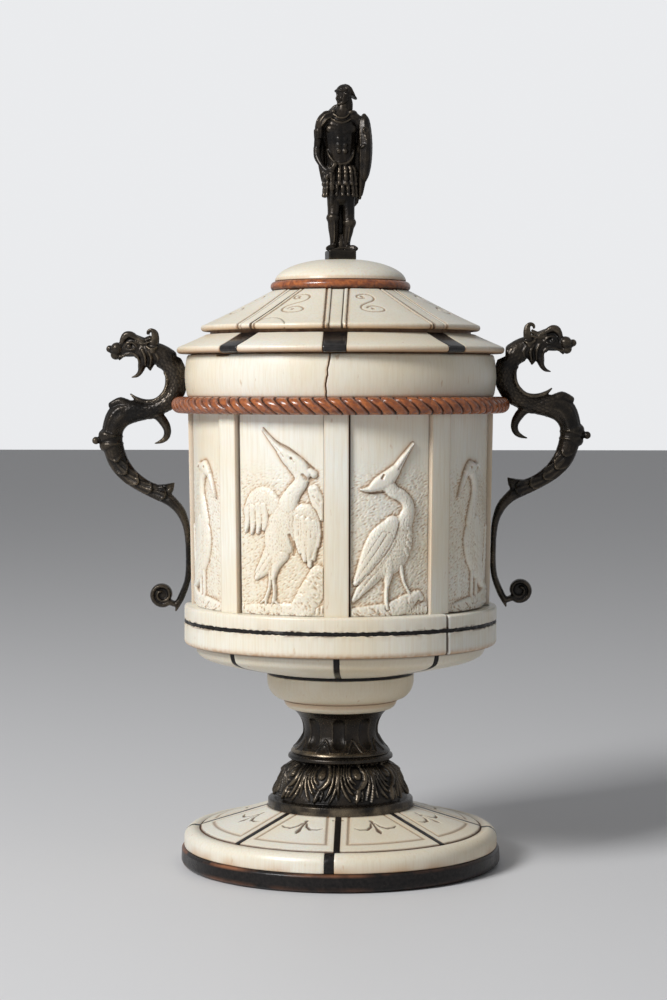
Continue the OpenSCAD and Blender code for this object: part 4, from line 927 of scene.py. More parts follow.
standing_heron = dict(
    masses=[
        (0.85, 2.2, [(-5.6, 16.4, 3.2), (-10.2, 11.4, 2.4), (-14.3, 6, 0.8)]),
        (0.95, 2.2, [(4.2, 33, 4.2), (3.4, 27, 5.2), (0.6, 21, 5.2), (-3, 17.4, 3.6)]),
        (1.25, 2.2,
         [(4.8, 33.6, 3.6), (6.6, 37.6, 2.8), (6.3, 41.2, 2.4), (3.9, 43.9, 2.3), (0.8, 45.4, 2.4),
          (-1.6, 48, 2.8)]), (1.1, 2.2, [(-1, 20, 3.0), (-1.2, 15, 1.8), (-1.7, 11.4, 1.0)]),
        (1.0, 2, [(-1.7, 11.8, 0.95), (-2.0, 7, 0.8), (-1.6, 2.8, 1.0)]),
        (0.8, 2, [(3.8, 18, 1.0), (5.0, 12.4, 0.6), (7.4, 8.2, 0.6)]),
        (1.35, 2.6,
         [(0.4, 33.4, 3.4), (-2.8, 28.6, 5.4), (-6.4, 23, 5.0), (-10, 17.4, 3.2), (-13.6, 12.2, 0.9)]),
        (1.5, 2.4, [(-8.2, 46.6, 1.2), (-5.2, 48.2, 2.6), (-1.9, 50, 3.0), (1.1, 53, 2.1)]),
        (1.25, 2, [(0.9, 52.4, 2.0), (4.2, 57.4, 1.15), (8.4, 63, 0.35)]),
        (1.2, 2, [(-7.6, 46.9, 1.1), (-9.8, 46.3, 0.8), (-11.6, 46.3, 0.3)])],
    feathers=[
        (0.2, [(-1.2, 29.4, 1.3), (-5.6, 22.4, 1.3), (-10.4, 16, 1.0), (-13.6, 12.2, 0.5)]),
        (0.2, [(0.6, 27.4, 1.2), (-3.4, 20.8, 1.3), (-8.6, 15, 1.1), (-12.4, 12, 0.5)]),
        (0.2, [(-3.2, 30, 1.2), (-7.6, 23.6, 1.2), (-12, 17, 0.9), (-13.9, 13.6, 0.4)]),
        (0.25, [(-6.4, 14.6, 0.9), (-9.8, 10.6, 0.9), (-12.4, 7, 0.4)]),
        (0.25, [(-8.6, 14.6, 0.9), (-12, 10.6, 0.9), (-14.4, 6.4, 0.4)]),
        (0.3, [(6.4, 32, 0.9), (7.6, 30, 0.6)]), (0.3, [(6.6, 29.4, 0.9), (7.7, 27.4, 0.6)]),
        (0.3, [(6.2, 26.8, 0.9), (7.3, 24.8, 0.6)]), (0.3, [(5.4, 24.2, 0.9), (6.4, 22.2, 0.6)])],
    cuts=[
        (0.75, [(-3.9, 50.4, 0.6), (-3.2, 51.6, 0.45)]),
        (0.4, [(-8.4, 44.9, 0.4), (-4.6, 45.2, 0.4), (-2.6, 45.4, 0.3)]),
        (0.3, [(2.0, 53.4, 0.3), (7.7, 61.9, 0.2)]),
        (0.3, [(2.6, 34, 0.4), (1.2, 29, 0.4), (-2.4, 22.8, 0.4), (-9, 15.2, 0.4)])],
    rough=[
        (0.9, [(-15, 0.6, 2.6), (-7, 1.6, 2.6), (0, 2.2, 3.0), (6, 4.6, 3.2), (9.8, 7, 2.0)]),
        (0.7, [(11.2, 7.6, 1.5), (12.6, 6.2, 1.2)]), (0.4, [(11, 1, 3), (15, 2, 3)])])
resting_heron = dict(
    masses=[
        (1.3, 2.4, [(-3.6, 33, 3.4), (-3.8, 27, 5.6), (-1.4, 20, 5.6), (2.6, 13.4, 3.4), (6.4, 8.6, 1.0)]),
        (1.2, 2.2, [(-4.4, 33, 3.4), (-3.2, 38.6, 2.5), (-1.6, 44, 2.2), (-2.4, 49.4, 2.2), (-5, 52.4, 2.4)]),
        (1.45, 2.4, [(-2.6, 53.6, 1.6), (-5.4, 53.4, 2.8), (-8.4, 51.6, 1.6)]),
        (1.15, 2, [(-8, 52, 1.6), (-11, 47.4, 1.0), (-13.4, 42.6, 0.35)]),
        (1.2, 2, [(-2.8, 53.8, 1.0), (-0.2, 54.6, 0.8), (1.8, 53.6, 0.5)]),
        (0.95, 2, [(-2.2, 17, 1.8), (-3.0, 11, 0.8), (-2.8, 3, 0.9)]),
        (0.9, 2, [(1.2, 14, 1.4), (0.8, 9, 0.75), (1.2, 3.4, 0.9)]),
        (1.5, 3.0, [(-1.4, 33, 3.2), (-0.6, 27, 4.8), (1.4, 20, 4.2), (5, 12.4, 1.8), (7.6, 8, 0.6)])],
    feathers=[
        (0.5, [(-3.2, 27, 1.0), (-0.4, 24.6, 1.1), (2.8, 23.8, 0.8)]),
        (0.5, [(-2.8, 23.8, 1.0), (0.2, 21.4, 1.1), (3.8, 20.4, 0.8)]),
        (0.5, [(-1.8, 20.6, 1.0), (1.2, 18, 1.1), (4.8, 16.8, 0.8)]),
        (0.5, [(-0.4, 17.4, 1.0), (2.4, 14.8, 1.1), (5.8, 13.2, 0.7)]),
        (0.5, [(1.2, 14, 0.9), (3.8, 11.6, 1.0), (7, 9.2, 0.5)])],
    cuts=[
        (0.7, [(-6.2, 53.6, 0.5), (-5.8, 53.7, 0.5)]), (0.3, [(-8.4, 51.4, 0.3), (-13, 43.2, 0.2)])],
    rough=[
        (0.9, [(-14, 1, 2.6), (-6, 2, 2.8), (2, 2.4, 3.0), (9, 3.4, 3.2), (14, 6, 3.0)]),
        (0.4, [(12, 12, 2.2), (14, 20, 2.0), (15, 30, 1.4)])])


def carve(across, up, half, heron):
    """Height of the carving over the ground, in millimetres."""
    form = np.zeros(len(across))
    ground = fine_noise(across * 0.5 + 0.3 * up, 1.1 * up - 0.6 * across, 0.75, 3) * 0.34
    ground += fine_noise(across, up, 3.2, 5) * 0.2
    ground *= 1 - between(up, 46, 60)
    for height, route in heron["rough"]:
        raise_stroke(form, across, up, route, height, flat=2.4)
    bush = between(form, 0.02, 0.3)
    curl = np.abs(fine_noise(across + 0.6 * up, up * 0.8, 1.5, 9))
    form += bush * (0.3 - 1.0 * curl) * 0.8
    fringe = (1 - between(up, 2.2, 4.4)) * np.abs(np.sin(across * 2.3 + 1.5 * np.sin(across * 0.7)))
    form = np.maximum(form, fringe * 0.75 * between(up, 0.3, 1.5))
    bird = np.zeros(len(across))
    for height, flat, route in heron["masses"]:
        raise_stroke(bird, across, up, route, height * carving_lift, flat=flat)
    mask = between(bird, 0.02, 0.4)
    barb = fine_noise(across * 1.8 + up * 0.5, up * 0.55 - across * 0.2, 0.6, 14)
    bird += mask * (barb * 0.28 + fine_noise(across, up, 0.6, 21) * 0.16 * (1 - between(up, 46, 50)))
    for height, route in heron["feathers"]:
        quill = np.zeros(len(across))
        raise_stroke(quill, across, up, route, 1.0, flat=2.6)
        bird = np.where(quill > 0, np.maximum(bird * 0.8, 0.55) + quill * height * 1.4, bird)
    form = np.maximum(form * (1 - mask), bird)
    for depth, route in heron["cuts"]:
        cut_stroke(form, across, up, route, depth)
    form += ground * (1 - mask) * (1 - bush * 0.5)
    beside = np.clip((half - np.abs(across)) / 0.5, 0, 1)
    high = carving_high - 0.35
    form = np.where(form > high, high + 0.35 * np.tanh((form - high) / 0.35), form)
    return np.maximum(form, -0.45) * beside


panel_herons = [
    (standing_heron, 1), (resting_heron, 1), (standing_heron, -1), (flying_heron, -1), (standing_heron, 1),
    (flying_heron, 1), (resting_heron, -1), (flying_heron, 1)]
rows = [body_z + 0.05 * mm + k / panel_rows * (body_h - 0.1 * mm) for k in range(panel_rows + 1)]
panel_section = [(tray_r, rows[0])] + [(panel_r - body_taper * (rope_z - z) / body_h, z) for z in rows] \
    + [(tray_r, rows[-1])]
side = strip_w / 2 + (panel_gap + wide_gap) / 2
shift = math.degrees((wide_gap - panel_gap) / 2 / panel_r)
for i, start in enumerate(body_turns):
    end = next_turn(body_turns, i)
    bm = ring_part(panel_section, start + shift, end + shift, side, panel_columns, 0)
    points = places(bm)
    r, turn = polar(points)
    skin = r > tray_r + 1 * mm
    half = (math.radians(end - start) * panel_r / 2 - side) / mm
    middle = math.radians((start + end) / 2 + shift)
    heron, way = panel_herons[i]
    across = around(turn[skin], middle) * panel_r / mm * way
    up = (points[skin, 2] - body_z) / mm
    form = carve(across, up, half, heron)
    r[skin] += form * mm
    set_polar(points, r, turn)
    put(bm, points)
    made = part(f"carved_panel_{i + 1}", bm, "cup", "bone", bone, f"relief_panel_{i + 1}", angle=70)
    # Painted shade, with some brown wax in the cuts: the carving's hollows and contours are darkened, the
    # ground beside the birds is warmed with amber as shade, and the panel's edges beside the strips and the
    # band are darkened.
    bend = curvature(made, 0.11 * mm, 5)
    wide = curvature(made, 0.35 * mm, 30)
    edge_shade = np.zeros(len(points))
    edge_shade[skin] = fade(half - np.abs(across), 0.35) + fade(up, 0.4)
    darkening = np.clip(-bend - 0.5, 0, 1) * 0.38 + np.clip(-wide - 0.7, 0, 1) * 0.3 + edge_shade * 0.7
    attribute(made, "hollow", np.clip(darkening, 0, 0.95))
    attribute(made, "amber", np.clip(np.clip(-wide, 0, 1) * 0.5 + np.clip(-bend - 0.1, 0, 1) * 0.35, 0, 0.6))
    attribute(made, "tone", tone_of(i + 2) * 0.3)
    attribute(made, "pale", np.clip(wide, 0, 1) * 0.45)
strip_section = soften([(tray_r, body_z), (strip_r - body_taper, body_z), (strip_r, rope_z),
                        (tray_r, rope_z)], 0.1 * mm)
for i, middle in enumerate(body_turns):
    bm = ring_part(strip_section, middle, middle, -strip_w / 2, 12, 0.35 * mm)
    bmesh.ops.subdivide_edges(bm, edges=[e for e in bm.edges if e.calc_length() > 20 * mm], cuts=40)
    rough_up(bm, 0.08 * mm, 9 * mm)
    made = part(f"plain_strip_{i + 1}", bm, "cup", "bone", bone, f"body_strip_{i + 1}")
    points = points_of(made)
    r, turn = polar(points)
    across = off_joint(r, turn, middle)
    attribute(made, "tone", tone_of(i + 5) * 0.5)
    # Painted shade and brown wax: the strip's sides, down in the gaps beside the panels, are darkened
    attribute(made, "hollow", np.clip((strip_r - 1.6 * mm - r) / (0.8 * mm), 0, 0.85))
    attribute(made, "amber", fade(strip_w / 2 - np.abs(across), 0.7 * mm) * 0.3)

# Rope moulding: one ring of polished mahogany carved as a twisted rope, glued to the core between the
# wall and the rim band. Each strand is rounded, with a dark cut and a fine grey line beside it.
rope_r, rope_h, rope_strands, rope_steps = 65.1 * mm, 6.3 * mm, 80, 1280
rim_z = rope_z + rope_h
strand_deep, strand_crown, rope_lay = 0.9 * mm, 0.75 * mm, 1.15


def mahogany_finish():
    material = finish("mahogany")
    stripe = object_grain(material, (420, 420, 420), 4, distortion=1.2)
    pore = object_grain(material, (1600, 1600, 500), 2)
    colour = tint(material, steps_of(material, stripe, 0.36, 0.64), (0.42, 0.125, 0.032, 1),
                  (0.17, 0.042, 0.014, 1))
    colour = tint(material, steps_of(material, pore, 0.6, 0.75, 0, 0.5), colour, (0.06, 0.02, 0.012, 1))
    colour = tint(material, mark(material, "edge"), colour, (0.26, 0.215, 0.2, 1))
    # hollow paints shade: nearly black in the rope's cuts and on the collar's lower round
    colour = tint(material, mark(material, "hollow"), colour, (0.012, 0.008, 0.008, 1))
    rough = sums(material, "ADD", steps_of(material, stripe, 0.3, 0.7, 0.2, 0.32),
                 sums(material, "MULTIPLY", mark(material, "hollow"), 0.4))
    into(material, Base_Color=colour, Roughness=rough, Normal=bumped(material, pore, 0.05 * mm, 0.5),
         Coat_Weight=0.25, Coat_Roughness=0.15)
    return material


mahogany = mahogany_finish()
rope_half, rope_mid = rope_h / 2, rope_z + rope_h / 2
rope_bm = turned([(tray_r + 0.06 * mm, rope_z)] + arc((rope_r - rope_half, rope_mid), rope_half, -90, 90, 20)
                 + [(tray_r + 0.06 * mm, rim_z)], rope_steps)
points = places(rope_bm)
r, turn = polar(points)
out, up = r - rope_r + rope_half, points[:, 2] - rope_mid
wander = fine_noise(np.sin(turn), np.cos(turn), 0.11) * 0.25
phase = turn * rope_strands / math.tau + up / rope_half * rope_lay / 2 + wander
s = (phase - np.floor(phase)) * 2 - 1
cut = fade(1 - np.abs(s), 0.26)
inwards = strand_deep * cut ** 1.5 + strand_crown * (1 - np.sqrt(np.clip(1 - 0.9 * s ** 2, 0, 1)))
on_rope = (r > tray_r + 1 * mm) * np.clip(out / (0.6 * mm), 0, 1)
keep = 1 - inwards * on_rope / rope_half
points[:, 2] = np.where(on_rope > 0, rope_mid + up * keep, points[:, 2])
set_polar(points, np.where(on_rope > 0, rope_r - rope_half + out * keep, r), turn)
put(rope_bm, points)
rope = part("rope_carved", rope_bm, "cup", "mahogany", mahogany, "rope_moulding", angle=60)
# Painted shade: the cuts between the strands are painted nearly black
attribute(rope, "hollow", np.clip(cut * 2.0 - 0.45, 0, 1))
attribute(rope, "edge", fade(np.abs(s - 0.62), 0.12) * 0.8)

# Rim band: one turned bone ring with a slight swell, glued above the rope. It has cracked through at
# the front, and a flake is missing from its top edge at the left. Two bores take the handles' dowels.
rim_r, rim_h, rim_swell = 59.9 * mm, 15.9 * mm, 0.9 * mm
lid_z = rim_z + rim_h
# Turns of the crack at evenly spaced heights, from the bottom up, and of the flake's two ends
crack_turns = [-2.95, -2.98, -3.2, -3.0, -2.5, -2.62, -2.1, -1.75, -1.65]
flake_turns, flake_deep, crack_half, crack_deep = (-49.4, -41.8), 0.6 * mm, 0.28 * mm, 0.7 * mm
rim_rows, rim_steps, crack_middle = 40, 720, math.radians(-2.5)
rim_section = [(tray_r, rim_z)] + [
    (rim_r - rim_swell + rim_swell * math.sin(math.pi * k / rim_rows)
     - 0.4 * mm * abs(2 * k / rim_rows - 1) ** 24, rim_z + rim_h * k / rim_rows)
    for k in range(rim_rows + 1)] + [(tray_r, lid_z)]
rim_bm = turned(rim_section, rim_steps)
points = places(rim_bm)
r, turn = polar(points)
# The turned ring's even steps are drawn together towards the crack
turn = turn - 0.75 * np.sin(turn - crack_middle)
level = (points[:, 2] - rim_z) / rim_h
ragged = fine_noise(points[:, 2] / mm, 0 * r, 0.9, 4.4)
crack = np.radians(np.interp(level * (len(crack_turns) - 1), range(len(crack_turns)), crack_turns))
open_at = groove(around(turn, crack) * r + ragged * 0.25 * mm, crack_half * (1 + 0.3 * ragged))
skin = r > rim_r - 2 * mm
r = r - open_at * crack_deep * skin
flake = between(turn, math.radians(flake_turns[0]), math.radians(flake_turns[0] + 0.5)) \
    * (1 - between(turn, math.radians(flake_turns[1] - 0.4), math.radians(flake_turns[1])))
flake = flake * skin * between(level, 0.93, 0.99)
set_polar(points, r, turn)
points[:, 2] -= flake * flake_deep * (1 + ragged * 0.5)
put(rim_bm, points)
rough_up(rim_bm, 0.07 * mm, 10 * mm)
rim = part("rim_band_turned", rim_bm, "cup", "bone", bone, "rim_band", angle=50)
attribute(rim, "hollow", np.clip(open_at * 1.3, 0, 0.85) + between(level, 0.975, 1) * 0.25)
attribute(rim, "amber", np.clip(groove(around(turn, crack) * r, 0.9 * mm) * 0.5 + flake * 0.4, 0, 1))
attribute(rim, "pale", groove(around(turn, crack) * r - 0.6 * mm, 0.3 * mm) * 0.8)
attribute(rim, "tone", 0.12)

# Handles: two bronze castings, each a dragon whose neck, shoulder and tail make an S. Two dowels cast on
# the back of each are driven through the bone into the core. The dark patina is rubbed back to brass on
# the ear, the crest and the arrises.
handle_lift, dowel_r, dowel_length = 1.1 * mm, 1.2 * mm, 6.5 * mm
dowel_low_z, dowel_high_z = body_z + 19.8 * mm, rim_z + rim_h / 2
dowel_low_r, dowel_high_r, lip_reach = 58.8 * mm, 61.8 * mm, 63.4 * mm
leaf_lobe, leaf_swell = 5.8, 0.8 * mm
handle_voxel, scale_pitch, scale_height = 0.3 * mm, 1.6 * mm, 0.42 * mm
# Bars in millimetres: out from the axis, up from the table, half thickness and half width
dragon_bar = [
    (77, 199.2, 3.6, 3.3), (70.9, 198.2, 4.2, 3.7), (66.7, 195.6, 4.1, 3.7), (63.9, 191.9, 3.8, 3.6),
    (63.1, 187.6, 3.4, 3.5), (63.7, 183.6, 3.4, 3.4), (66.4, 179.9, 3.2, 3.3), (70.8, 177.3, 2.8, 3.2),
    (75.6, 176.0, 3.1, 3.3), (80.9, 175.8, 4.4, 3.6), (85.2, 174.2, 5.0, 3.8), (87.7, 170.2, 4.3, 3.7),
    (88.3, 166.0, 3.9, 3.6), (87.7, 161.0, 4.0, 3.6), (85.4, 155.3, 3.8, 3.5), (81.0, 150.3, 3.2, 3.3),
    (75.3, 146.5, 2.8, 3.1), (69.8, 144.0, 2.9, 3.0), (65.4, 140.9, 2.2, 2.8), (62.0, 137.2, 1.9, 2.7),
    (59.9, 132.0, 1.4, 2.6), (59.1, 126.0, 1.15, 2.5), (58.9, 120.0, 1.1, 2.5), (58.9, 114.6, 1.15, 2.5),
    (59.5, 110.0, 1.2, 2.5), (60.9, 106.0, 1.3, 2.4), (62.5, 102.4, 1.25, 2.2), (63.9, 98.6, 0.35, 1.0)]
throat_band = [
    (81.2, 182.6, 0.3, 1.0), (78.9, 180.8, 0.8, 1.7), (75.0, 179.7, 0.9, 1.9), (71.0, 180.5, 0.85, 1.9),
    (67.9, 183.8, 0.8, 1.9), (67.0, 187.9, 0.75, 1.9), (67.8, 190.8, 0.4, 1.4)]
crescent = [
    (76.0, 174.6, 1.6, 2.4), (71.4, 174.7, 1.9, 2.4), (68.5, 172.0, 1.8, 2.2), (67.0, 168.8, 1.5, 2.0),
    (67.4, 166.0, 1.25, 1.7), (69.2, 164.4, 0.85, 1.3), (71.8, 163.5, 0.25, 0.5)]
jaw = [
    (75.6, 196.4, 2.6, 2.7), (76.7, 193.8, 1.7, 2.3), (77.3, 191.5, 1.1, 1.8), (78.6, 189.8, 0.75, 1.3),
    (80.8, 189.0, 0.2, 0.5)]
spurs = [
    [(83.0, 178.0, 2.6, 2.8), (85.2, 179.6, 1.9, 2.5), (88.5, 178.4, 1.4, 2.2)],
    [(71.0, 145.6, 2.0, 2.4), (67.6, 146.6, 1.3, 2.0), (64.4, 148.2, 0.25, 0.8)],
    [(68.2, 144.2, 2.2, 2.3), (66.0, 145.4, 1.3, 1.9), (64.7, 147.4, 0.4, 1.0)],
    [(73.4, 196.6, 3.0, 2.9), (73.7, 193.6, 1.6, 1.9), (73.5, 191.7, 0.3, 0.6)],
    [(70.2, 196.2, 2.8, 2.8), (70.2, 193.9, 1.0, 1.5)], [(84.5, 197.6, 1.1, 1.8), (85.5, 195.8, 0.3, 0.6)]]
collar_rings = [
    (88.6, 167.7, 3.4, 3.2), (88.85, 166.9, 4.8, 4.3), (88.9, 165.9, 4.8, 4.3), (88.75, 165.2, 4.0, 3.75),
    (88.7, 164.2, 3.95, 3.7), (88.7, 163.5, 4.65, 4.2), (88.6, 162.6, 4.7, 4.2), (88.3, 161.9, 3.3, 3.2)]
knob_stem = [(91.6, 164.6, 0.95, 0.95), (95.0, 164.6, 0.6, 0.6)]
seat_boss = [(58.9, 118.7, 0.95, 1.5), (58.9, 122.3, 0.95, 1.5)]
brow_fill = [(83.4, 202.0, 1.7, 1.9), (80.6, 202.6, 2.2, 2.3), (77.4, 202.0, 2.0, 2.6)]
muzzle = [(78.0, 200.2, 3.1, 3.1), (82.0, 199.5, 2.6, 2.8), (86.2, 199.3, 2.1, 2.3)]
crown_ridge = [
    (84.0, 202.6, 1.3, 1.5), (83.2, 204.6, 1.1, 1.5), (81.3, 205.1, 1.3, 1.7), (78.2, 203.6, 1.6, 2.0),
    (74.6, 202.2, 1.7, 2.3)]
# The same with a distance to the side in the second place, made on both sides of the head
paired = [
    [(84.6, 1.5, 200.6, 0.7, 0.8), (84.2, 1.7, 202.8, 1.1, 1.2), (83.0, 1.7, 204.9, 1.5, 1.5),
     (81.2, 1.8, 205.4, 1.45, 1.5), (78.8, 2.0, 204.2, 1.0, 1.1), (76.2, 2.3, 203.0, 0.6, 0.8)],
    [(72.3, 2.4, 199.9, 1.6, 1.0), (71.7, 2.6, 203.0, 1.5, 0.8), (71.7, 2.6, 205.8, 1.2, 0.7),
     (72.7, 2.5, 207.2, 0.8, 0.6), (74.1, 2.4, 206.8, 0.55, 0.5), (74.3, 2.4, 205.7, 0.4, 0.4)],
    [(80.6, 0.8, 204.4, 0.5, 0.5), (77.0, 0.9, 203.6, 0.5, 0.5), (73.6, 1.2, 204.8, 0.45, 0.45)],
    [(80.0, 1.8, 203.9, 0.45, 0.5), (76.6, 1.9, 203.0, 0.5, 0.5), (73.4, 2.0, 204.0, 0.45, 0.45)],
    [(79.0, 2.6, 202.6, 0.4, 0.5), (76.0, 2.9, 201.9, 0.45, 0.5), (73.4, 2.9, 202.6, 0.4, 0.45)],
    [(83.4, 2.5, 200.6, 0.35, 0.4), (82.2, 3.0, 202.2, 0.45, 0.45), (80.2, 3.1, 202.4, 0.4, 0.45),
     (78.6, 3.1, 201.2, 0.35, 0.4)],
    [(83.2, 2.5, 200.3, 0.35, 0.35), (81.6, 2.9, 199.5, 0.4, 0.4), (79.4, 3.1, 199.9, 0.35, 0.4)],
    [(86.6, 2.0, 197.0, 0.45, 0.4), (84.0, 2.4, 197.2, 0.45, 0.45), (81.0, 2.6, 198.2, 0.45, 0.5),
     (78.6, 2.8, 197.4, 0.5, 0.5), (77.6, 2.4, 195.2, 0.45, 0.5), (77.6, 1.8, 192.6, 0.35, 0.4)],
    [(76.4, 3.3, 199.6, 0.4, 0.45), (75.2, 3.5, 196.8, 0.55, 0.6), (75.2, 2.4, 193.6, 0.35, 0.4)],
    [(74.0, 3.5, 199.0, 0.45, 0.5), (72.8, 3.6, 196.4, 0.6, 0.6), (73.4, 2.2, 193.2, 0.35, 0.4)],
    [(71.4, 3.5, 198.6, 0.45, 0.5), (70.2, 3.5, 196.6, 0.6, 0.6), (70.6, 2.2, 194.6, 0.35, 0.4)],
    [(74.6, 3.3, 200.9, 0.45, 0.45), (72.6, 3.9, 199.6, 0.7, 0.6), (70.6, 3.6, 200.6, 0.4, 0.4)]]
# Balls: out, side, up and radius
paired_balls = [
    (86.3, 1.2, 200.1, 2.45), (86.9, 1.0, 197.7, 1.9), (81.5, 2.4, 200.9, 1.05), (72.4, 3.0, 199.2, 1.5)]
single_balls = [(89.2, 0, 200.0, 1.45), (87.4, 0, 199.4, 2.0), (94.8, 0, 164.6, 1.5), (69.5, 0, 106.0, 1.5)]
# Where hands have rubbed it: out, up, radius and amount
worn_places = [
    (72.6, 205.0, 2.6, 0.5), (77.0, 203.6, 3.0, 0.45), (83.0, 204.6, 1.5, 0.4), (68.9, 165.4, 2.0, 0.45),
    (66.5, 146.2, 1.8, 0.7), (72.0, 146.0, 1.4, 0.4), (84.4, 196.9, 1.2, 0.4), (66.4, 101.2, 1.6, 0.4),
    (88.2, 179.4, 1.0, 0.5), (89.4, 166.4, 1.2, 0.3)]
volute_out, volute_up, volute_r, volute_in, volute_from, volute_turn = 69.1, 104.9, 4.0, 0.34, 228, 560
volute_web = 3.4


def limb(bm, points, steps, sides):
    """Adds a round-ended bar along a route of (out, side, up, half thickness, half width) in millimetres."""
    route = (smooth_route(points, steps) if len(points) > 2 else np.array(points, dtype=float)) * mm
    way = np.gradient(route[:, :3], axis=0)
    way /= np.linalg.norm(way, axis=1)[:, None]
    caps = [math.sin(math.radians(a)) for a in (90, 62, 32)]
    rings = [(route[0, :3] - way[0] * route[0, 3] * k, way[0], route[0, 3:] * math.sqrt(1 - k * k))
             for k in caps]
    rings += [(row[:3], w, row[3:]) for row, w in zip(route, way)]
    rings += [(route[-1, :3] + way[-1] * route[-1, 3] * k, way[-1], route[-1, 3:] * math.sqrt(1 - k * k))
              for k in caps[::-1]]
    last = len(rings) - 1
    verts = bmesh.ops.create_grid(bm, x_segments=last, y_segments=sides, size=1)["verts"]
    for vert in verts:
        centre, along, half = rings[round((vert.co.x + 1) / 2 * last)]
        a = (vert.co.y + 1) * math.pi
        beside = np.array((0, 1, 0)) - along * along[1]
        beside /= np.linalg.norm(beside)
        vert.co = centre + np.cross(along, beside) * half[0] * math.cos(a) + beside * half[1] * math.sin(a)
    bmesh.ops.remove_doubles(bm, verts=verts, dist=1e-7)


def ball(bm, out, side, up, radius, flat=1.0):
    made = bmesh.ops.create_icosphere(bm, subdivisions=3, radius=radius * mm)["verts"]
    bmesh.ops.scale(bm, verts=made, vec=(1, flat, 1))
    bmesh.ops.translate(bm, verts=made, vec=(out * mm, side * mm, up * mm))


def fused(bm, voxel):
    """The overlapping shells made into one skin of even quads, as a mould would give them."""
    face_outwards(bm)
    mesh = bpy.data.meshes.new("pattern")
    bm.to_mesh(mesh)
    bm.free()
    pattern = bpy.data.objects.new("pattern", mesh)
    bpy.context.scene.collection.objects.link(pattern)
    skin = pattern.modifiers.new("skin", "REMESH")
    skin.mode = "VOXEL"
    skin.voxel_size = voxel
    made = bmesh.new()
    made.from_object(pattern, bpy.context.evaluated_depsgraph_get())
    bpy.data.objects.remove(pattern)
    bpy.data.meshes.remove(mesh)
    bmesh.ops.smooth_vert(made, verts=made.verts, factor=0.5, use_axis_x=True, use_axis_y=True,
                          use_axis_z=True)
    made.normal_update()
    return made


def scaled(along, across, pitch):
    """Rows of overlapping round scales, 0 to 1."""
    height = np.zeros(len(along))
    for step in (0, 1):
        row = np.floor(along / pitch) + step
        aside = across / pitch + 0.5 * (row % 2)
        aside -= np.round(aside)
        ahead = along / pitch - row
        dome = np.sqrt(np.clip(1 - ahead ** 2 - (aside * 1.7) ** 2, 0, 1))
        height = np.maximum(height, dome * (0.7 - 0.3 * ahead))
    return height


def volute_route():
    """The tail's rolled end, a spiral whose band gets thinner."""
    route = [(62.6, 102.6, 1.2, 2.3), (64.0, 101.2, 1.15, 2.3)]
    for k in range(19):
        t = k / 18
        a, r = math.radians(volute_from + volute_turn * t), volute_r * (1 - t ** 1.5 * (1 - volute_in))
        route.append((volute_out + r * math.cos(a), volute_up + r * math.sin(a), 1.2 - 0.45 * t,
                      2.5 + 0.2 * t))
    return route


dragon_bm = bmesh.new()
for bar in [dragon_bar, throat_band, crescent, jaw, *spurs, collar_rings, knob_stem, seat_boss, muzzle,
            crown_ridge, brow_fill, volute_route()]:
    limb(dragon_bm, [(out, 0, up, thick, wide) for out, up, thick, wide in bar], 4, 18)
for bar in paired:
    for side in (1, -1):
        limb(dragon_bm, [(out, y * side, up, thick, wide) for out, y, up, thick, wide in bar], 4, 12)
for out, y, up, radius in paired_balls:
    for side in (1, -1):
        ball(dragon_bm, out, y * side, up, radius)
for out, side, up, radius in single_balls:
    ball(dragon_bm, out, side, up, radius)
ball(dragon_bm, volute_out, 0, volute_up, volute_web, 0.5)
dragon_bm = fused(dragon_bm, handle_voxel)
points = places(dragon_bm)
normals = np.array([v.normal[:] for v in dragon_bm.verts])
middle_line = smooth_route(dragon_bar, 4)
across, where = line_distance(points[:, 0] / mm, points[:, 2] / mm, middle_line[:, :2])
lengths = np.concatenate([[0], np.cumsum(np.hypot(*np.diff(middle_line[:, :2], axis=0).T))])
along = np.interp(where, range(len(lengths)), lengths)
index = np.clip(where.astype(int), 0, len(middle_line) - 2)
step_out, step_up = (middle_line[index + 1, :2] - middle_line[index, :2]).T
offset = (points[:, 0] / mm - middle_line[index, 0]) * step_up
offset -= (points[:, 2] / mm - middle_line[index, 1]) * step_out
about = np.arctan2(np.sign(offset) * across, points[:, 1] / mm)
thick = np.interp(where, range(len(middle_line)), middle_line[:, 2])
on_bar = (across < thick * 1.12 + 0.1) * 1.0
share = where / 4
neck = on_bar * between(share, 1.2, 1.9) * (1 - between(share, 8.6, 9.6))
detail = scaled(along, about * 3.5, scale_pitch / mm) * scale_height * neck
leafy = on_bar * between(share, 13.3, 13.9) * (1 - between(share, 17.2, 18.2))
lobe = (along + 0.35 * np.abs(points[:, 1]) / mm + 0.16 * offset ** 2) / leaf_lobe
lobe -= np.floor(lobe)
lobe = lobe ** 1.3 * (1 - between(lobe, 0.86, 1.0))
vein = np.sin(about * 9 + along * 0.5)
flank = np.clip(np.abs(points[:, 1]) / (2.4 * mm), 0, 1) ** 1.5
detail += leafy * (lobe * 1.6 - 0.8 + 0.2 * vein) * leaf_swell * flank
shoulder = on_bar * between(share, 9.0, 9.8) * (1 - between(share, 11.6, 12.2))
detail += shoulder * 0.12 * mm * np.sin(about * 7)
grain = ripple(points / (1.1 * mm)) + 0.6 * ripple(points / (0.45 * mm))
detail += grain * 0.07 * mm
points += normals * detail[:, None]
band_line = smooth_route(throat_band, 4)
worn, _ = line_distance(points[:, 0] / mm, points[:, 2] / mm, band_line[:, :2])
worn = np.clip(1.15 - worn / 0.9, 0, 1) * 0.55
for out, up, radius, amount in worn_places:
    away = np.hypot(points[:, 0] / mm - out, points[:, 2] / mm - up) / radius
    worn = np.maximum(worn, np.clip(1.2 - away, 0, 1) * amount)
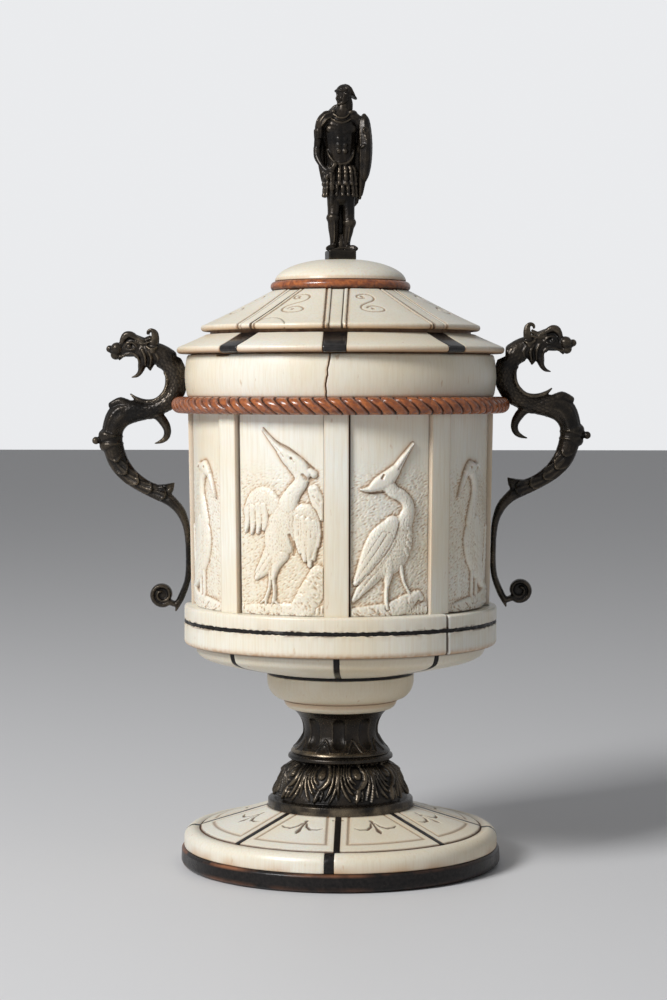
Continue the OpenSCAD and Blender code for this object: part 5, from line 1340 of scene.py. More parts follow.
# The castings were filed to sit against the wall, the rope, the rim band and clear of the lid's lip
reach = np.hypot(points[:, 0], points[:, 1])
keep_rows = [(0, 0), (body_z - 0.01 * mm, band_r), (body_z, strip_r - body_taper), (rope_z, strip_r)]
for k in range(13):
    rope_round = rope_half * math.sqrt(max(0, 1 - (k / 6 - 1) ** 2))
    keep_rows.append((rope_z + rope_h * k / 12, rope_r - rope_half + rope_round))
keep_rows += [(rim_z + 0.01 * mm, rim_r - rim_swell), (rim_z + rim_h / 2, rim_r),
              (lid_z - 2.2 * mm, rim_r - rim_swell), (lid_z - 0.3 * mm, lip_reach), (1, lip_reach)]
for side, lift in ((1, handle_lift), (-1, -handle_lift)):
    keep = np.interp(points[:, 2] + lift, *np.array(keep_rows).T) + 0.1 * mm
    push = np.maximum(reach, keep) / np.maximum(reach, 1e-6)
    seated = points * np.stack([push, push, np.ones(len(push))], axis=1) + (0, 0, lift)
    bm = dragon_bm.copy()
    put(bm, seated * (side, 1, 1))
    for z, root in ((dowel_low_z, dowel_low_r), (dowel_high_z, dowel_high_r)):
        place = Matrix.Translation((side * (root - dowel_length / 2), 0, z + lift))
        bmesh.ops.create_cone(bm, cap_ends=True, segments=20, radius1=dowel_r, radius2=dowel_r,
                              depth=dowel_length, matrix=place @ Matrix.Rotation(math.pi / 2, 4, "Y"))
    face_outwards(bm)
    name = "right" if side > 0 else "left"
    made = part(f"dragon_handle_{name}", bm, "cup", "bronze", bronze, f"handle_{name}", angle=60)
    mark_edges(made, 0.16 * mm, 5)
    dowels = len(made.data.vertices) - len(worn)
    wear(made, 0.34, np.append(worn * (0.75 + 0.7 * grain), np.zeros(dowels)))
dragon_bm.free()

# Lid, lower tier: eight sloped bone plates with a round lip and eight glossy ebony blocks between them,
# glued to the turned board whose spigot centres the lid in the cup's mouth.
skirt_z, skirt_h, lip_t, skirt_run = lid_z + 0.5 * mm, 7.4 * mm, 2.0 * mm, 11.5 * mm
lip_round, skirt_steps = 1.4 * mm, 56
lid_r, block_w, roof_edge = 63 * mm, 8.3 * mm, 1.3 * mm
skirt_in_r, skirt_top_z = lid_r - skirt_run, skirt_z + skirt_h
neck_in_r = skirt_in_r - roof_edge
seat_out_r = lid_r - lip_t / ((skirt_h - lip_t) / skirt_run) - lip_t / 2
lid_turns = [0, 45, 90, 135, 180, 225, 270, 321]
skirt_section = soften(
    [(seat_out_r, skirt_z), (lid_r - lip_round, skirt_z)]
    + arc((lid_r - lip_round, skirt_z + lip_round), lip_round, -80, 60, 9)
    + [(skirt_in_r + 6 * mm, skirt_top_z - 2.75 * mm), (skirt_in_r, skirt_top_z), (neck_in_r, skirt_top_z),
       (neck_in_r, skirt_top_z - lip_t + glue_gap), (skirt_in_r, skirt_top_z - lip_t + glue_gap)], 0.3 * mm)
for i, start in enumerate(lid_turns):
    end = next_turn(lid_turns, i)
    bm = ring_part(skirt_section, start, end, (block_w + joint_gap) / 2 + 0.1 * mm, skirt_steps, 0.9 * mm)
    rough_up(bm, 0.1 * mm, 6 * mm)
    made = part(f"lower_tier_plate_{i + 1}", bm, "lid", "bone", bone, *leads(i, "lid_skirt_plates"))
    points = points_of(made)
    r, turn = polar(points)
    # Painted shade: amber and a darker band under the round lip, and at the plates' rounded ends beside the
    # blocks
    low = fade(points[:, 2] - skirt_z, 2.4 * mm)
    from_block = np.minimum(off_joint(r, turn, start), -off_joint(r, turn, end)) - block_w / 2
    side = fade(from_block, 0.9 * mm)
    attribute(made, "amber", np.clip(low * 0.8 + side * 0.35, 0, 0.85))
    under = between(-points[:, 2], -skirt_z - 0.5 * mm, -skirt_z)
    attribute(made, "hollow", np.clip(under * 0.7 + side ** 3 * 0.4, 0, 1))
    attribute(made, "tone", tone_of(i) * 0.4)
ebony_gloss = ebony_finish()
ebony_gloss.name = "ebony_polished"
into(ebony_gloss, Coat_Weight=0.5, Coat_Roughness=0.12)
for i, middle in enumerate(lid_turns):
    bm = ring_part(skirt_section, middle, middle, -block_w / 2, 12, 0.5 * mm)
    rough_up(bm, 0.12 * mm, 4 * mm)
    made = part(f"lower_tier_block_{i + 1}", bm, "lid", "ebony", ebony_gloss, *leads(i, "lid_skirt_blocks"))
    attribute(made, "edge", 0)

# Lid, upper tier: eight larger bone plates with a rounded edge, parted by narrow bone strips. Each
# plate has a bead cut along both sides and an engraved scroll with two dots, filled with brown wax.
roof_z, roof_r, roof_h, roof_t, roof_strip_w = skirt_top_z + 1.2 * mm, 53.7 * mm, 15.3 * mm, 2 * mm, 4.4 * mm
collar_r, collar_h, collar_z = 26.9 * mm, 3.8 * mm, roof_z + roof_h
roof_slope = (roof_h - roof_edge) / (roof_r - collar_r)
roof_in_r = collar_r - 0.4 * mm
roof_foot_r = roof_r - (roof_t - roof_edge) / roof_slope
bead_w, bead_line, bead_deep, scroll_deep = 1.8 * mm, 0.45 * mm, 0.5 * mm, 0.36 * mm
scroll_line, dot_r, roof_swell, edge_round = 0.42 * mm, 0.75 * mm, 0.6 * mm, 1.2 * mm
roof_rows, roof_steps = 96, 122
# The scroll's route, in millimetres across the plate and out from the axis, its dots, and the line of
# a glued chip in the plate left of the front, with half its width
scroll = [
    (-3.0, 33.4), (-4.7, 33.5), (-5.7, 32.3), (-4.7, 31.0), (-2.1, 30.5), (0.0, 31.5), (0.7, 33.5),
    (-0.6, 35.6), (-3.5, 37.1), (-6.2, 38.9), (-7.0, 41.1), (-5.6, 43.1), (-2.3, 44.1), (0.9, 43.3),
    (1.6, 41.4), (-0.6, 39.7), (-3.4, 39.6), (-4.7, 40.7)]
scroll_dots = [(-3.6, 32.2), (-2.7, 41.5)]
chip_line = [(-13.4, 50.6), (-11.4, 48.4), (-8.0, 47.9), (-4.4, 49.2), (-1.8, 51.9), (-1.0, 53.3)]
chip_half = 0.28 * mm
scroll_route = smooth_route([(a * mm, b * mm) for a, b in scroll], 4)
chip_route = smooth_route([(a * mm, b * mm) for a, b in chip_line], 3)


def roof_top(r):
    """Height of the plates' top, which swells a little towards the edge."""
    swell = fade(roof_r - r, 14 * mm) ** 1.5 * roof_swell
    return roof_z + roof_edge + (roof_r - r) * roof_slope + swell


top = [roof_r - k / roof_rows * (roof_r - roof_in_r) for k in range(roof_rows + 1)]
nose = arc((roof_r - edge_round, roof_z + edge_round), edge_round, -85, 58, 9)
roof_section = [(roof_in_r, collar_z - roof_t), (roof_foot_r - edge_round, roof_z)] + nose \
    + [(r, roof_top(r)) for r in top if r < roof_r - 0.8 * mm]
for i, start in enumerate(lid_turns):
    end = next_turn(lid_turns, i)
    side = (roof_strip_w + joint_gap) / 2
    bm = ring_part(roof_section, start, end, side + 0.1 * mm, roof_steps, 0)
    points = places(bm)
    r, turn = polar(points)
    surface = roof_top(r)
    on_top = between(points[:, 2], surface - 0.5 * mm, surface - 0.05 * mm)
    aside = around(turn, math.radians((start + end) / 2))
    way = 1 if i % 2 == 0 or i == 7 else -1
    across, along = r * np.sin(aside) * way, r * np.cos(aside)
    from_side = np.minimum(off_joint(r, turn, start), -off_joint(r, turn, end)) - side
    line = groove(from_side - bead_w, bead_line)
    bead = np.clip(1 - (from_side / bead_w * 2 - 1) ** 2, 0, 1)
    bead = np.where(from_side < bead_w, 1 - np.sqrt(bead), 0)
    spiral = groove(line_distance(across, along, scroll_route)[0], scroll_line)
    for dot in scroll_dots:
        spiral = np.maximum(spiral, groove(np.hypot(across - dot[0] * mm, along - dot[1] * mm), dot_r) * 1.2)
    chip = np.zeros(len(points))
    if i == len(lid_turns) - 1:
        chip = groove(line_distance(across, along, chip_route)[0], chip_half)
    depth = line * bead_deep + bead * 0.45 * mm + spiral * scroll_deep + chip * 0.3 * mm
    points[:, 2] -= on_top * depth
    pull = (1 - on_top) * (r > roof_r - 1.6 * mm) * (line * bead_deep + bead * 0.3 * mm)
    corner = fade(roof_r - r, 2.2 * mm) * fade(from_side, 1.6 * mm)
    pull += corner ** 2 * edge_round
    points[:, :2] *= (1 - pull / r)[:, None]
    put(bm, points)
    rough_up(bm, 0.08 * mm, 7 * mm)
    made = part(f"upper_tier_plate_{i + 1}", bm, "lid", "bone", bone, *leads(i, "lid_roof_plates"), angle=50)
    joint = fade(from_side, 0.35 * mm)
    darkening = np.maximum(np.maximum(line * 0.8, spiral * 0.5 * on_top), np.maximum(chip * 0.8, joint))
    # Painted shade: the plate's foot is darkened, as the gap between the tiers is in shade; the cuts hold
    # brown wax
    attribute(made, "hollow", np.clip(darkening + between(-points[:, 2], -roof_z - 0.3 * mm, -roof_z) * 0.6, 0, 1))
    low = fade(points[:, 2] - roof_z, 2.0 * mm)
    stain = low * 0.75 + groove(from_side - bead_w, 1.0 * mm) * 0.3 + spiral * 0.5
    attribute(made, "amber", np.clip(stain, 0, 0.8))
    attribute(made, "tone", tone_of(i + 4) * 0.35)
strip_section = soften(
    [(roof_in_r, collar_z - roof_t), (roof_foot_r - edge_round, roof_z)] + nose
    + [(r, roof_top(r)) for r in (roof_r - 4 * mm, roof_r - 9 * mm)] + [(roof_in_r, collar_z)], 0.2 * mm)
for i, middle in enumerate(lid_turns):
    bm = ring_part(strip_section, middle, middle, -roof_strip_w / 2, 10, 0.5 * mm)
    bmesh.ops.subdivide_edges(bm, edges=[e for e in bm.edges if e.calc_length() > 8 * mm], cuts=20)
    rough_up(bm, 0.08 * mm, 5 * mm)
    made = part(f"upper_tier_strip_{i + 1}", bm, "lid", "bone", bone, *leads(i, "lid_roof_strips"))
    points = points_of(made)
    r, turn = polar(points)
    across = np.abs(off_joint(r, turn, middle))
    attribute(made, "hollow", np.clip((across - roof_strip_w / 2 + 0.45 * mm) / (0.45 * mm), 0, 1) * 0.8)
    attribute(made, "amber", np.clip(1 - (points[:, 2] - roof_z) / (1.5 * mm), 0, 0.6))
    attribute(made, "tone", tone_of(i) * 0.5)

# Crown of the lid: a turned mahogany collar and a bone dome that carries the finial. A threaded stud
# cast under the finial holds them to the board with a nut in the spigot's pocket.
dome_r, dome_h, dome_z = 25.2 * mm, 8.2 * mm, collar_z + collar_h
figure_z, figure_h = dome_z + dome_h, 68.4 * mm
stud_bore_r, plinth_w = 1.9 * mm, figure_h * 0.181
collar_half, crown_steps = collar_h / 2, 240
collar_bm = turned([(stud_bore_r, collar_z), (collar_r - 1.6 * mm, collar_z)]
                   + arc((collar_r - collar_half, collar_z + collar_half), collar_half, -80, 80, 14)
                   + [(collar_r - 1.6 * mm, dome_z), (stud_bore_r, dome_z)], crown_steps)
rough_up(collar_bm, 0.06 * mm, 4 * mm)
collar = part("collar_turned", collar_bm, "lid", "mahogany", mahogany, "lid_collar")
points = points_of(collar)
# Painted shade: the collar's lower round is darkened unevenly, as its underside is in shade
low = np.clip(1.3 - (points[:, 2] - collar_z) / (1.5 * mm), 0, 1)
patches = ripple(points / (3 * mm))
attribute(collar, "hollow", np.clip(low * (0.85 + patches), 0, 0.85))
dome_flat_r = plinth_w * 0.75
dome_full_h = dome_h / math.sqrt(1 - (dome_flat_r / dome_r) ** 2)
dome_stop = math.degrees(math.acos(dome_flat_r / dome_r))
dome_bm = turned([(stud_bore_r, dome_z), (dome_r - 0.5 * mm, dome_z)]
                 + arc((0, dome_z), (dome_r, dome_full_h), 2, dome_stop, 28)
                 + [(stud_bore_r, figure_z)], crown_steps)
rough_up(dome_bm, 0.06 * mm, 9 * mm)
dome = part("dome_turned", dome_bm, "lid", "bone", bone, "lid_dome")
points = points_of(dome)
attribute(dome, "hollow", fade(points[:, 2] - dome_z, 0.5 * mm) * 0.9)
attribute(dome, "amber", np.clip(1 - (points[:, 2] - dome_z) / (1.8 * mm), 0, 0.4))
attribute(dome, "tone", 0.05)

# Finial: a bronze casting of a soldier on a square plinth, in a muscled breastplate over a strapped skirt,
# with a cloak, a long shield and greaves. A threaded stud under it runs through the dome and the board.
# The face is a plain one of regular proportions.
spigot_z, stud_r, stud_end = lid_z - 6 * mm, 1.5 * mm, 0.6 * mm
thread_pitch, thread_deep = 0.9 * mm, 0.22 * mm
figure_turn, head_turn, head_place = math.radians(11), math.radians(-68), (1.2, 0.0, 4.7)
head_scale, figure_scale = 0.93, 0.99
figure_voxel, head_voxel = 0.28 * mm, 0.14 * mm
plinth_h, plinth_round = figure_h * 0.057, 0.5 * mm
# Bars in millimetres over the dome: across, back, up, half thickness and half width
torso = [
    (0, 0, 34.5, 5.2, 4.2), (0, 0, 38.5, 4.9, 3.8), (0, -0.1, 42, 5.3, 4.0), (-0.1, -0.2, 46, 5.9, 4.3),
    (-0.2, -0.1, 50, 6.3, 4.4), (-0.1, 0, 53, 6.0, 3.9), (0.2, 0.1, 55.6, 4.2, 3.0),
    (0.8, 0, 57.4, 2.6, 2.4)]
skirt = [(0, 0.2, 36.4, 5.2, 4.2), (0, 0.2, 33, 5.7, 4.6), (0, 0.2, 29, 5.7, 4.6), (0, 0.2, 26, 5.3, 4.2)]
neck = [(0.7, 0.1, 56.6, 2.2, 2.1), (0.9, 0, 59.8, 1.9, 1.9)]
legs = [
    [(-2.5, 0.3, 26, 2.9, 3.0), (-2.6, 0.1, 20, 2.45, 2.7), (-2.8, -0.3, 16.5, 2.3, 2.5),
     (-2.7, 0.1, 12.5, 2.1, 2.5), (-2.5, 0.4, 9.4, 1.75, 2.2), (-2.6, 0.3, 6.6, 1.45, 1.7),
     (-2.9, 0.2, 4.8, 1.5, 1.7)],
    [(2.9, 0.3, 26, 2.9, 3.0), (3.0, 0.1, 20, 2.5, 2.7), (3.1, -0.3, 15, 2.3, 2.5),
     (2.9, 0.1, 11.5, 2.1, 2.5), (2.5, 0.4, 8.8, 1.75, 2.2), (2.4, 0.3, 6.4, 1.45, 1.7),
     (2.8, 0.2, 4.8, 1.5, 1.7)],
    [(-2.9, -0.6, 17.9, 1.9, 1.9), (-3.0, -0.7, 16.7, 2.7, 2.7), (-2.9, -0.5, 15.6, 2.5, 2.6),
     (-2.8, -0.3, 14.4, 2.0, 2.2)],
    [(3.2, -0.6, 16.0, 1.9, 1.9), (3.3, -0.7, 14.9, 2.7, 2.7), (3.2, -0.5, 13.8, 2.5, 2.6),
     (3.0, -0.3, 12.6, 2.0, 2.2)],
    [(-2.9, -2.8, 15.4, 0.3, 0.4), (-2.7, -2.4, 11, 0.35, 0.4), (-2.7, -1.5, 7, 0.3, 0.4)],
    [(3.2, -2.8, 13.6, 0.3, 0.4), (2.8, -2.4, 10, 0.35, 0.4), (2.5, -1.5, 6.8, 0.3, 0.4)],
    [(-2.8, 0.9, 4.9, 1.2, 1.4), (-3.3, -1.3, 4.8, 1.1, 1.2), (-4.6, -2.8, 4.6, 1.3, 0.9),
     (-5.6, -3.6, 4.4, 0.9, 0.6)],
    [(2.8, 0.9, 4.9, 1.2, 1.4), (3.3, -1.3, 4.8, 1.1, 1.2), (4.6, -2.8, 4.6, 1.3, 0.9),
     (5.5, -3.5, 4.4, 0.9, 0.6)],
    [(0.2, 0.6, 4.4, 1.5, 1.5), (0.1, 0.3, 7.0, 1.1, 1.1), (0.2, 0.5, 9.8, 0.7, 0.7)],
    [(-3.6, -4.6, 4.0, 0.3, 0.3), (0, -5.2, 4.7, 0.35, 0.35), (3.6, -4.6, 4.0, 0.3, 0.3)]]
near_arm = [
    [(-3.6, -0.3, 55.3, 2.0, 2.6), (-6.2, -0.5, 54.4, 2.5, 2.9), (-7.9, -0.2, 52.2, 2.0, 2.5),
     (-8.5, 0, 50.2, 1.5, 2.0)],
    [(-7.6, 0, 52.5, 1.7, 1.9), (-8.5, 0.3, 47.5, 1.6, 1.8), (-9.0, 0.7, 43.2, 1.3, 1.5)],
    [(-9.0, 0.7, 43.4, 1.45, 1.5), (-9.1, -1.0, 39.8, 1.4, 1.4), (-7.9, -3.2, 36.4, 1.0, 1.1),
     (-6.6, -4.3, 34.6, 0.9, 0.9)],
    [(-6.9, -4.2, 34.9, 1.0, 1.0), (-5.6, -4.9, 34.0, 1.3, 1.0), (-4.4, -5.2, 33.5, 0.8, 0.7)],
    [(-5.9, -5.3, 33.4, 0.35, 0.35), (-4.6, -5.9, 33.0, 0.38, 0.38), (-3.8, -5.4, 32.6, 0.3, 0.3)],
    [(-5.7, -5.3, 34.4, 0.35, 0.35), (-4.3, -5.9, 34.0, 0.38, 0.38), (-3.5, -5.4, 33.6, 0.3, 0.3)],
    [(-5.5, -5.2, 35.3, 0.35, 0.35), (-4.1, -5.8, 35.0, 0.38, 0.38), (-3.3, -5.3, 34.6, 0.3, 0.3)],
    [(-6.0, -4.9, 31.6, 0.85, 0.85), (-4.4, -5.1, 34.2, 0.8, 0.8), (-3.0, -5.2, 36.6, 0.9, 0.9)],
    [(-3.9, -2.5, 56.6, 0.3, 0.3), (-6.3, -3.1, 55.8, 0.4, 0.4), (-8.4, -2.5, 52.9, 0.3, 0.3)],
    [(-3.6, -1.2, 57.3, 0.3, 0.3), (-6.6, -1.6, 56.9, 0.4, 0.4), (-9.4, -1.4, 53.6, 0.3, 0.3)],
    [(-4.3, -3.3, 54.8, 0.3, 0.3), (-6.0, -3.6, 53.9, 0.4, 0.4), (-7.8, -3.0, 51.5, 0.3, 0.3)]]
far_arm = [
    [(4.2, 0, 55.2, 2.1, 2.5), (6.4, 0.2, 54.3, 2.2, 2.4), (7.6, 0.4, 50.6, 1.8, 2.0)],
    [(7.3, 0.3, 51, 1.7, 1.9), (7.6, 0.4, 45.5, 1.5, 1.7), (7.3, -1.4, 42.6, 1.3, 1.3),
     (7.9, -3.4, 41.6, 1.0, 1.0)], [(7.2, -3.6, 43.6, 0.7, 0.7), (8.6, -4.4, 43.9, 0.6, 0.6)]]
muscles = [
    [(-4.3, -2.8, 50.4, 1.7, 1.2), (-1.3, -3.5, 49.9, 1.9, 1.3)],
    [(4.1, -2.8, 50.4, 1.7, 1.2), (1.1, -3.5, 49.9, 1.9, 1.3)],
    [(4.9, -1.6, 43, 0.4, 0.4), (4.3, -3.0, 40, 0.45, 0.5), (2.3, -4.2, 37.6, 0.5, 0.5),
     (-0.4, -4.6, 36.9, 0.5, 0.5), (-2.9, -4.2, 37.6, 0.5, 0.5), (-4.8, -3.0, 40, 0.45, 0.5),
     (-5.4, -1.2, 42.6, 0.4, 0.4)],
    [(-4.4, -2.8, 54.6, 0.4, 0.35), (-2.2, -3.9, 53.2, 0.45, 0.4), (0.6, -4.1, 52.8, 0.4, 0.4),
     (3.4, -3.4, 54.2, 0.4, 0.35)],
    [(-3.0, -2.6, 56.2, 0.35, 0.4), (-1.4, -3.6, 54.8, 0.4, 0.4), (1.2, -3.6, 54.8, 0.4, 0.4),
     (3.0, -2.2, 56.4, 0.35, 0.4)]]
shield = [
    (9.0, -0.8, 55.8, 1.0, 1.4), (9.0, -1.2, 53.8, 2.0, 2.6), (9.2, -1.6, 49.5, 2.4, 3.4),
    (9.4, -1.8, 43.6, 2.5, 3.8), (9.3, -1.8, 37.6, 2.3, 3.4), (8.9, -1.4, 33, 1.8, 2.6),
    (8.8, -1.0, 30.4, 0.8, 1.2)]
shield_trim = [
    [(9.0, -1.8, 56.4, 0.4, 0.4), (10.5, -2.2, 54.2, 0.4, 0.45), (11.3, -2.6, 49.4, 0.4, 0.5),
     (11.6, -2.8, 43.6, 0.42, 0.5), (11.3, -2.6, 37.6, 0.4, 0.5), (10.4, -2.2, 33.0, 0.4, 0.45),
     (9.0, -1.8, 30.0, 0.35, 0.4)],
    [(9.0, -1.8, 56.4, 0.35, 0.4), (7.4, -2.6, 53.9, 0.4, 0.45), (7.1, -3.6, 49.4, 0.4, 0.45),
     (7.2, -4.1, 43.6, 0.4, 0.45), (7.2, -3.6, 37.6, 0.4, 0.45), (7.4, -2.8, 33.0, 0.4, 0.45),
     (8.8, -1.8, 30.0, 0.35, 0.4)],
    [(8.9, -4.8, 51.0, 0.3, 0.35), (9.8, -4.7, 50.2, 0.3, 0.35), (9.5, -4.9, 49.0, 0.3, 0.35),
     (8.5, -5.0, 49.0, 0.3, 0.35), (8.1, -4.9, 50.1, 0.3, 0.35), (8.9, -4.8, 51.0, 0.3, 0.35)],
    [(8.9, -5.0, 47.6, 0.3, 0.4), (9.4, -5.3, 45.2, 0.35, 0.45), (9.0, -5.2, 41.2, 0.3, 0.4)],
    [(7.4, -4.9, 43.4, 0.55, 0.6), (8.3, -5.4, 44.0, 0.5, 0.6)]]
cloak = [
    [(0.4, 2.4, 55.4, 5.6, 1.5), (0.6, 3.8, 49, 6.4, 1.7), (1.0, 4.6, 41, 6.8, 1.7), (1.6, 4.9, 33, 7.0, 1.7),
     (2.0, 4.5, 25.8, 6.6, 1.3)],
    [(9.0, -0.4, 35, 1.0, 1.2), (8.9, 0.2, 30.5, 0.9, 1.2), (8.4, 0.8, 26.4, 0.6, 0.9)],
    [(7.6, -2.0, 36, 0.8, 0.9), (7.5, -1.8, 30, 0.9, 1.0), (7.3, -1.3, 24.0, 0.6, 0.7)],
    [(8.6, -1.6, 34, 0.6, 0.7), (8.4, -1.4, 29, 0.8, 0.8), (8.0, -1.0, 25.4, 0.5, 0.6)],
    [(-6.4, 1.6, 52.5, 1.6, 1.2), (-7.2, 2.0, 45, 1.7, 1.3), (-7.0, 2.2, 38, 1.5, 1.2),
     (-6.2, 2.2, 31, 1.0, 1.0)],
    [(6.6, 1.8, 52.5, 2.2, 1.3), (7.2, 2.2, 44, 2.4, 1.4), (7.4, 2.2, 36, 2.4, 1.4),
     (7.6, 1.8, 28.6, 1.5, 1.2)],
    [(0.2, 2.8, 29, 4.6, 1.3), (0.2, 2.7, 17, 4.2, 1.2), (0.2, 2.3, 9, 3.0, 1.1), (0.1, 1.9, 4.8, 3.2, 1.2)],
    [(3.8, -1.6, 57.0, 1.0, 1.0), (5.4, 0.6, 56.8, 1.2, 1.6), (4.6, 2.8, 55.6, 1.2, 1.4)],
    [(-3.0, -1.6, 57.2, 0.9, 0.9), (-4.4, 0.8, 56.8, 1.1, 1.5), (-3.6, 2.8, 55.6, 1.2, 1.4)]]
# Rows of the skirt's straps: how many, reach across and back, top, end, half thickness and tab's radius
strap_tiers = [
    (16, 5.9, 4.9, 36.0, 33.6, 0.75, 0.85), (16, 6.3, 5.2, 34.0, 29.4, 0.8, 0.8),
    (18, 6.3, 5.2, 30.0, 25.0, 0.75, 0.75)]
belly_heights, belly_aside, belly_r = (46.6, 44.2, 41.8), 1.15, 1.05
fold_places = [-5.4, -3.2, -1.0, 1.4, 3.8, 6.2]
tassel = [
    (-4.6, -5.9, 33.0, 0.55, 0.5), (-4.4, -6.0, 29.6, 0.6, 0.5), (-4.2, -5.9, 27.4, 1.0, 0.8),
    (-4.15, -5.6, 26.6, 0.5, 0.5), (-4.1, -5.2, 25.2, 0.55, 0.55), (-4.1, -5.0, 24.4, 0.9, 0.8),
    (-4.1, -4.7, 23.2, 0.6, 0.6), (-4.1, -4.4, 21.6, 0.8, 0.7)]
# The head, facing the front before it is turned, over the neck's axis; then what is made on both sides
head = [
    [(0, -0.2, 59.6, 1.7, 1.8), (0, -0.4, 61.4, 2.3, 2.5), (0, -0.2, 63.4, 2.7, 2.9), (0, 0, 65.0, 2.9, 3.1)],
    [(0, 1.9, 65.8, 3.0, 1.6), (0, 3.4, 64.2, 2.7, 1.0), (0, 4.6, 63.2, 2.0, 0.4)],
    [(-3.2, 0.2, 64.9, 0.35, 0.45), (-2.5, -2.3, 65.1, 0.35, 0.45), (0, -3.5, 65.3, 0.4, 0.5),
     (2.5, -2.3, 65.1, 0.35, 0.45), (3.2, 0.2, 64.9, 0.35, 0.45)],
    [(0, -2.8, 63.7, 0.35, 0.4), (0, -3.2, 62.7, 0.36, 0.38), (0, -3.5, 62.0, 0.42, 0.4)],
    [(-0.75, -2.8, 60.95, 0.14, 0.2), (0, -3.05, 61.05, 0.2, 0.26), (0.75, -2.8, 60.95, 0.14, 0.2)],
    [(-0.6, -2.75, 60.6, 0.18, 0.2), (0, -3.0, 60.5, 0.24, 0.26), (0.6, -2.75, 60.6, 0.18, 0.2)],
    [(0, 1.6, 62.0, 2.3, 1.9), (0, 2.0, 60.0, 2.4, 2.0), (0, 2.1, 57.8, 2.2, 1.9)]]
head_pairs = [
    [(0.4, -2.2, 59.6, 0.6, 0.6), (1.6, -1.2, 60.2, 0.7, 0.8), (2.2, 0.1, 61.4, 0.7, 0.8)],
    [(0.35, -2.85, 64.0, 0.2, 0.28), (1.1, -2.75, 64.2, 0.22, 0.3), (1.9, -2.1, 63.9, 0.18, 0.26)],
    [(0.45, -2.65, 63.2, 0.1, 0.14), (1.0, -2.8, 63.5, 0.12, 0.16), (1.55, -2.5, 63.2, 0.1, 0.14)],
    [(0.45, -2.65, 63.1, 0.09, 0.12), (1.0, -2.75, 62.8, 0.1, 0.13), (1.55, -2.5, 63.1, 0.09, 0.12)],
    [(2.9, -0.1, 64.8, 0.5, 1.3), (2.8, -0.6, 63.0, 0.4, 1.2), (2.4, -1.1, 61.4, 0.35, 0.9),
     (2.0, -1.4, 60.4, 0.3, 0.5)], [(3.0, -0.6, 65.9, 0.9, 0.9), (3.3, -0.6, 65.9, 1.0, 1.0)]]
head_balls = [(0, -2.3, 59.7, 0.85), (0, 0.1, 64.7, 3.35)]
head_pair_balls = [
    (1.3, -1.95, 61.9, 0.95), (1.0, -2.2, 63.15, 0.55), (0.38, -3.15, 61.85, 0.3), (3.9, -0.6, 65.9, 0.6),
    (3.2, -0.7, 63.6, 0.45)]


def tier(bm, count, rx, ry, top, low, half, tip):
    """A row of hanging straps round the body, each with a rounded tab at its end."""
    for k in range(count):
        a = math.tau * (k + 0.5) / count
        x, y = rx * math.cos(a), ry * math.sin(a) + 0.2
        limb(bm, [(x * 0.9, y * 0.9, top, half, half * 0.8), (x, y, (top + low) / 2, half, half),
                  (x * 1.01, y * 1.01, low, half * 0.9, half * 0.8)], 3, 10)
        ball(bm, x * 1.04, y * 1.04, low, tip)


def take_in(bm, other):
    """Adds another piece to this one."""
    mesh = bpy.data.meshes.new("taken_in")
    other.to_mesh(mesh)
    other.free()
    bm.from_mesh(mesh)
    bpy.data.meshes.remove(mesh)


body_bm = bmesh.new()
for bar in [torso, skirt, neck, *legs, *near_arm, *far_arm, *muscles, shield, *shield_trim, *cloak, tassel]:
    limb(body_bm, bar, 4, 14)
for height in belly_heights:
    for x in (belly_aside, -belly_aside):
        ball(body_bm, x, -3.7, height, belly_r)
for x in fold_places:
    limb(body_bm, [(x * 0.7, 3.6, 54.5, 0.7, 0.7), (x * 0.95 + 0.4, 5.4, 44, 0.8, 0.8),
                   (x + 1.2, 6.0, 34, 0.9, 0.9), (x + 1.8, 5.4, 25.6, 0.8, 0.7)], 4, 12)
for k in range(7):
    a = math.radians(-205 + 32 * k)
    x, y = -8.4 + 1.6 * math.cos(a), 0.1 + 1.9 * math.sin(a)
    limb(body_bm, [(x, y, 50.0, 0.5, 0.5), (x * 0.995, y, 47.2, 0.4, 0.4)], 2, 10)
for row in strap_tiers:
    tier(body_bm, *row)
plinth_verts = bmesh.ops.create_cube(body_bm, size=1)["verts"]
bmesh.ops.scale(body_bm, verts=plinth_verts, vec=(plinth_w * 0.86, plinth_w * 0.86, plinth_h))
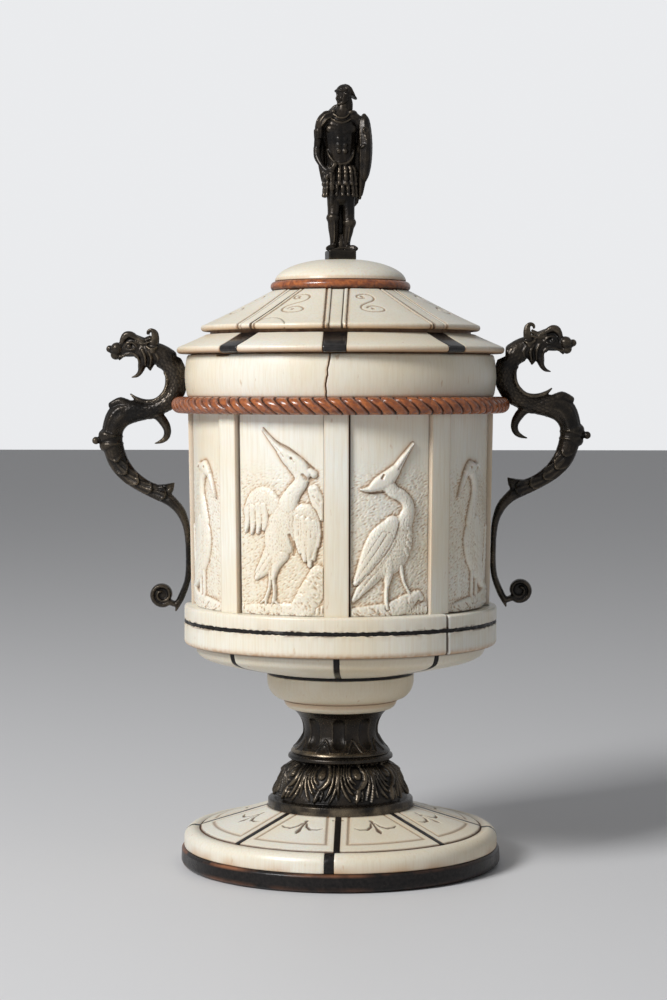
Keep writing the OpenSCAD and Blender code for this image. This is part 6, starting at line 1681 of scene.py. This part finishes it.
bmesh.ops.translate(body_bm, verts=plinth_verts, vec=(0, 0, plinth_h / 2))
plinth_edges = list(dict.fromkeys(e for v in plinth_verts for e in v.link_edges))
bmesh.ops.bevel(body_bm, geom=plinth_edges, offset=plinth_round, segments=3, profile=0.5, affect="EDGES",
                material=-1)
body_bm = fused(body_bm, figure_voxel)
head_bm = bmesh.new()
for bar in head:
    limb(head_bm, bar, 4, 16)
for bar in head_pairs:
    for side in (1, -1):
        limb(head_bm, [(x * side, y, up, thick, wide) for x, y, up, thick, wide in bar], 4, 12)
for x, y, up, radius in head_balls:
    ball(head_bm, x, y, up, radius)
for x, y, up, radius in head_pair_balls:
    for side in (1, -1):
        ball(head_bm, x * side, y, up, radius)
head_bm = fused(head_bm, head_voxel)
bmesh.ops.rotate(head_bm, verts=head_bm.verts, cent=(0, 0, 0), matrix=Matrix.Rotation(head_turn, 3, "Z"))
bmesh.ops.scale(head_bm, verts=head_bm.verts, vec=(head_scale, head_scale, head_scale))
bmesh.ops.translate(head_bm, verts=head_bm.verts, vec=[v * mm for v in head_place])
take_in(body_bm, head_bm)
bmesh.ops.scale(body_bm, verts=body_bm.verts, vec=(1, 1, figure_scale))
rough_up(body_bm, 0.05 * mm, 0.9 * mm)
bmesh.ops.rotate(body_bm, verts=body_bm.verts, cent=(0, 0, 0), matrix=Matrix.Rotation(figure_turn, 3, "Z"))
bmesh.ops.translate(body_bm, verts=body_bm.verts, vec=(0, 0, figure_z))
stud_length = figure_z - spigot_z - stud_end
threads = int(stud_length / thread_pitch)
stud_section = [(0, figure_z)] + [p for k in range(threads) for p in (
    (stud_r, figure_z - k * thread_pitch), (stud_r - thread_deep, figure_z - (k + 0.5) * thread_pitch))] \
    + [(stud_r - thread_deep, spigot_z + stud_end), (0, spigot_z + stud_end)]
take_in(body_bm, turned(stud_section, 32))
soldier = part("soldier_casting", body_bm, "lid", "bronze", bronze, "finial_soldier", angle=60)
mark_edges(soldier, 0.14 * mm, 5)
wear(soldier, 0.3)
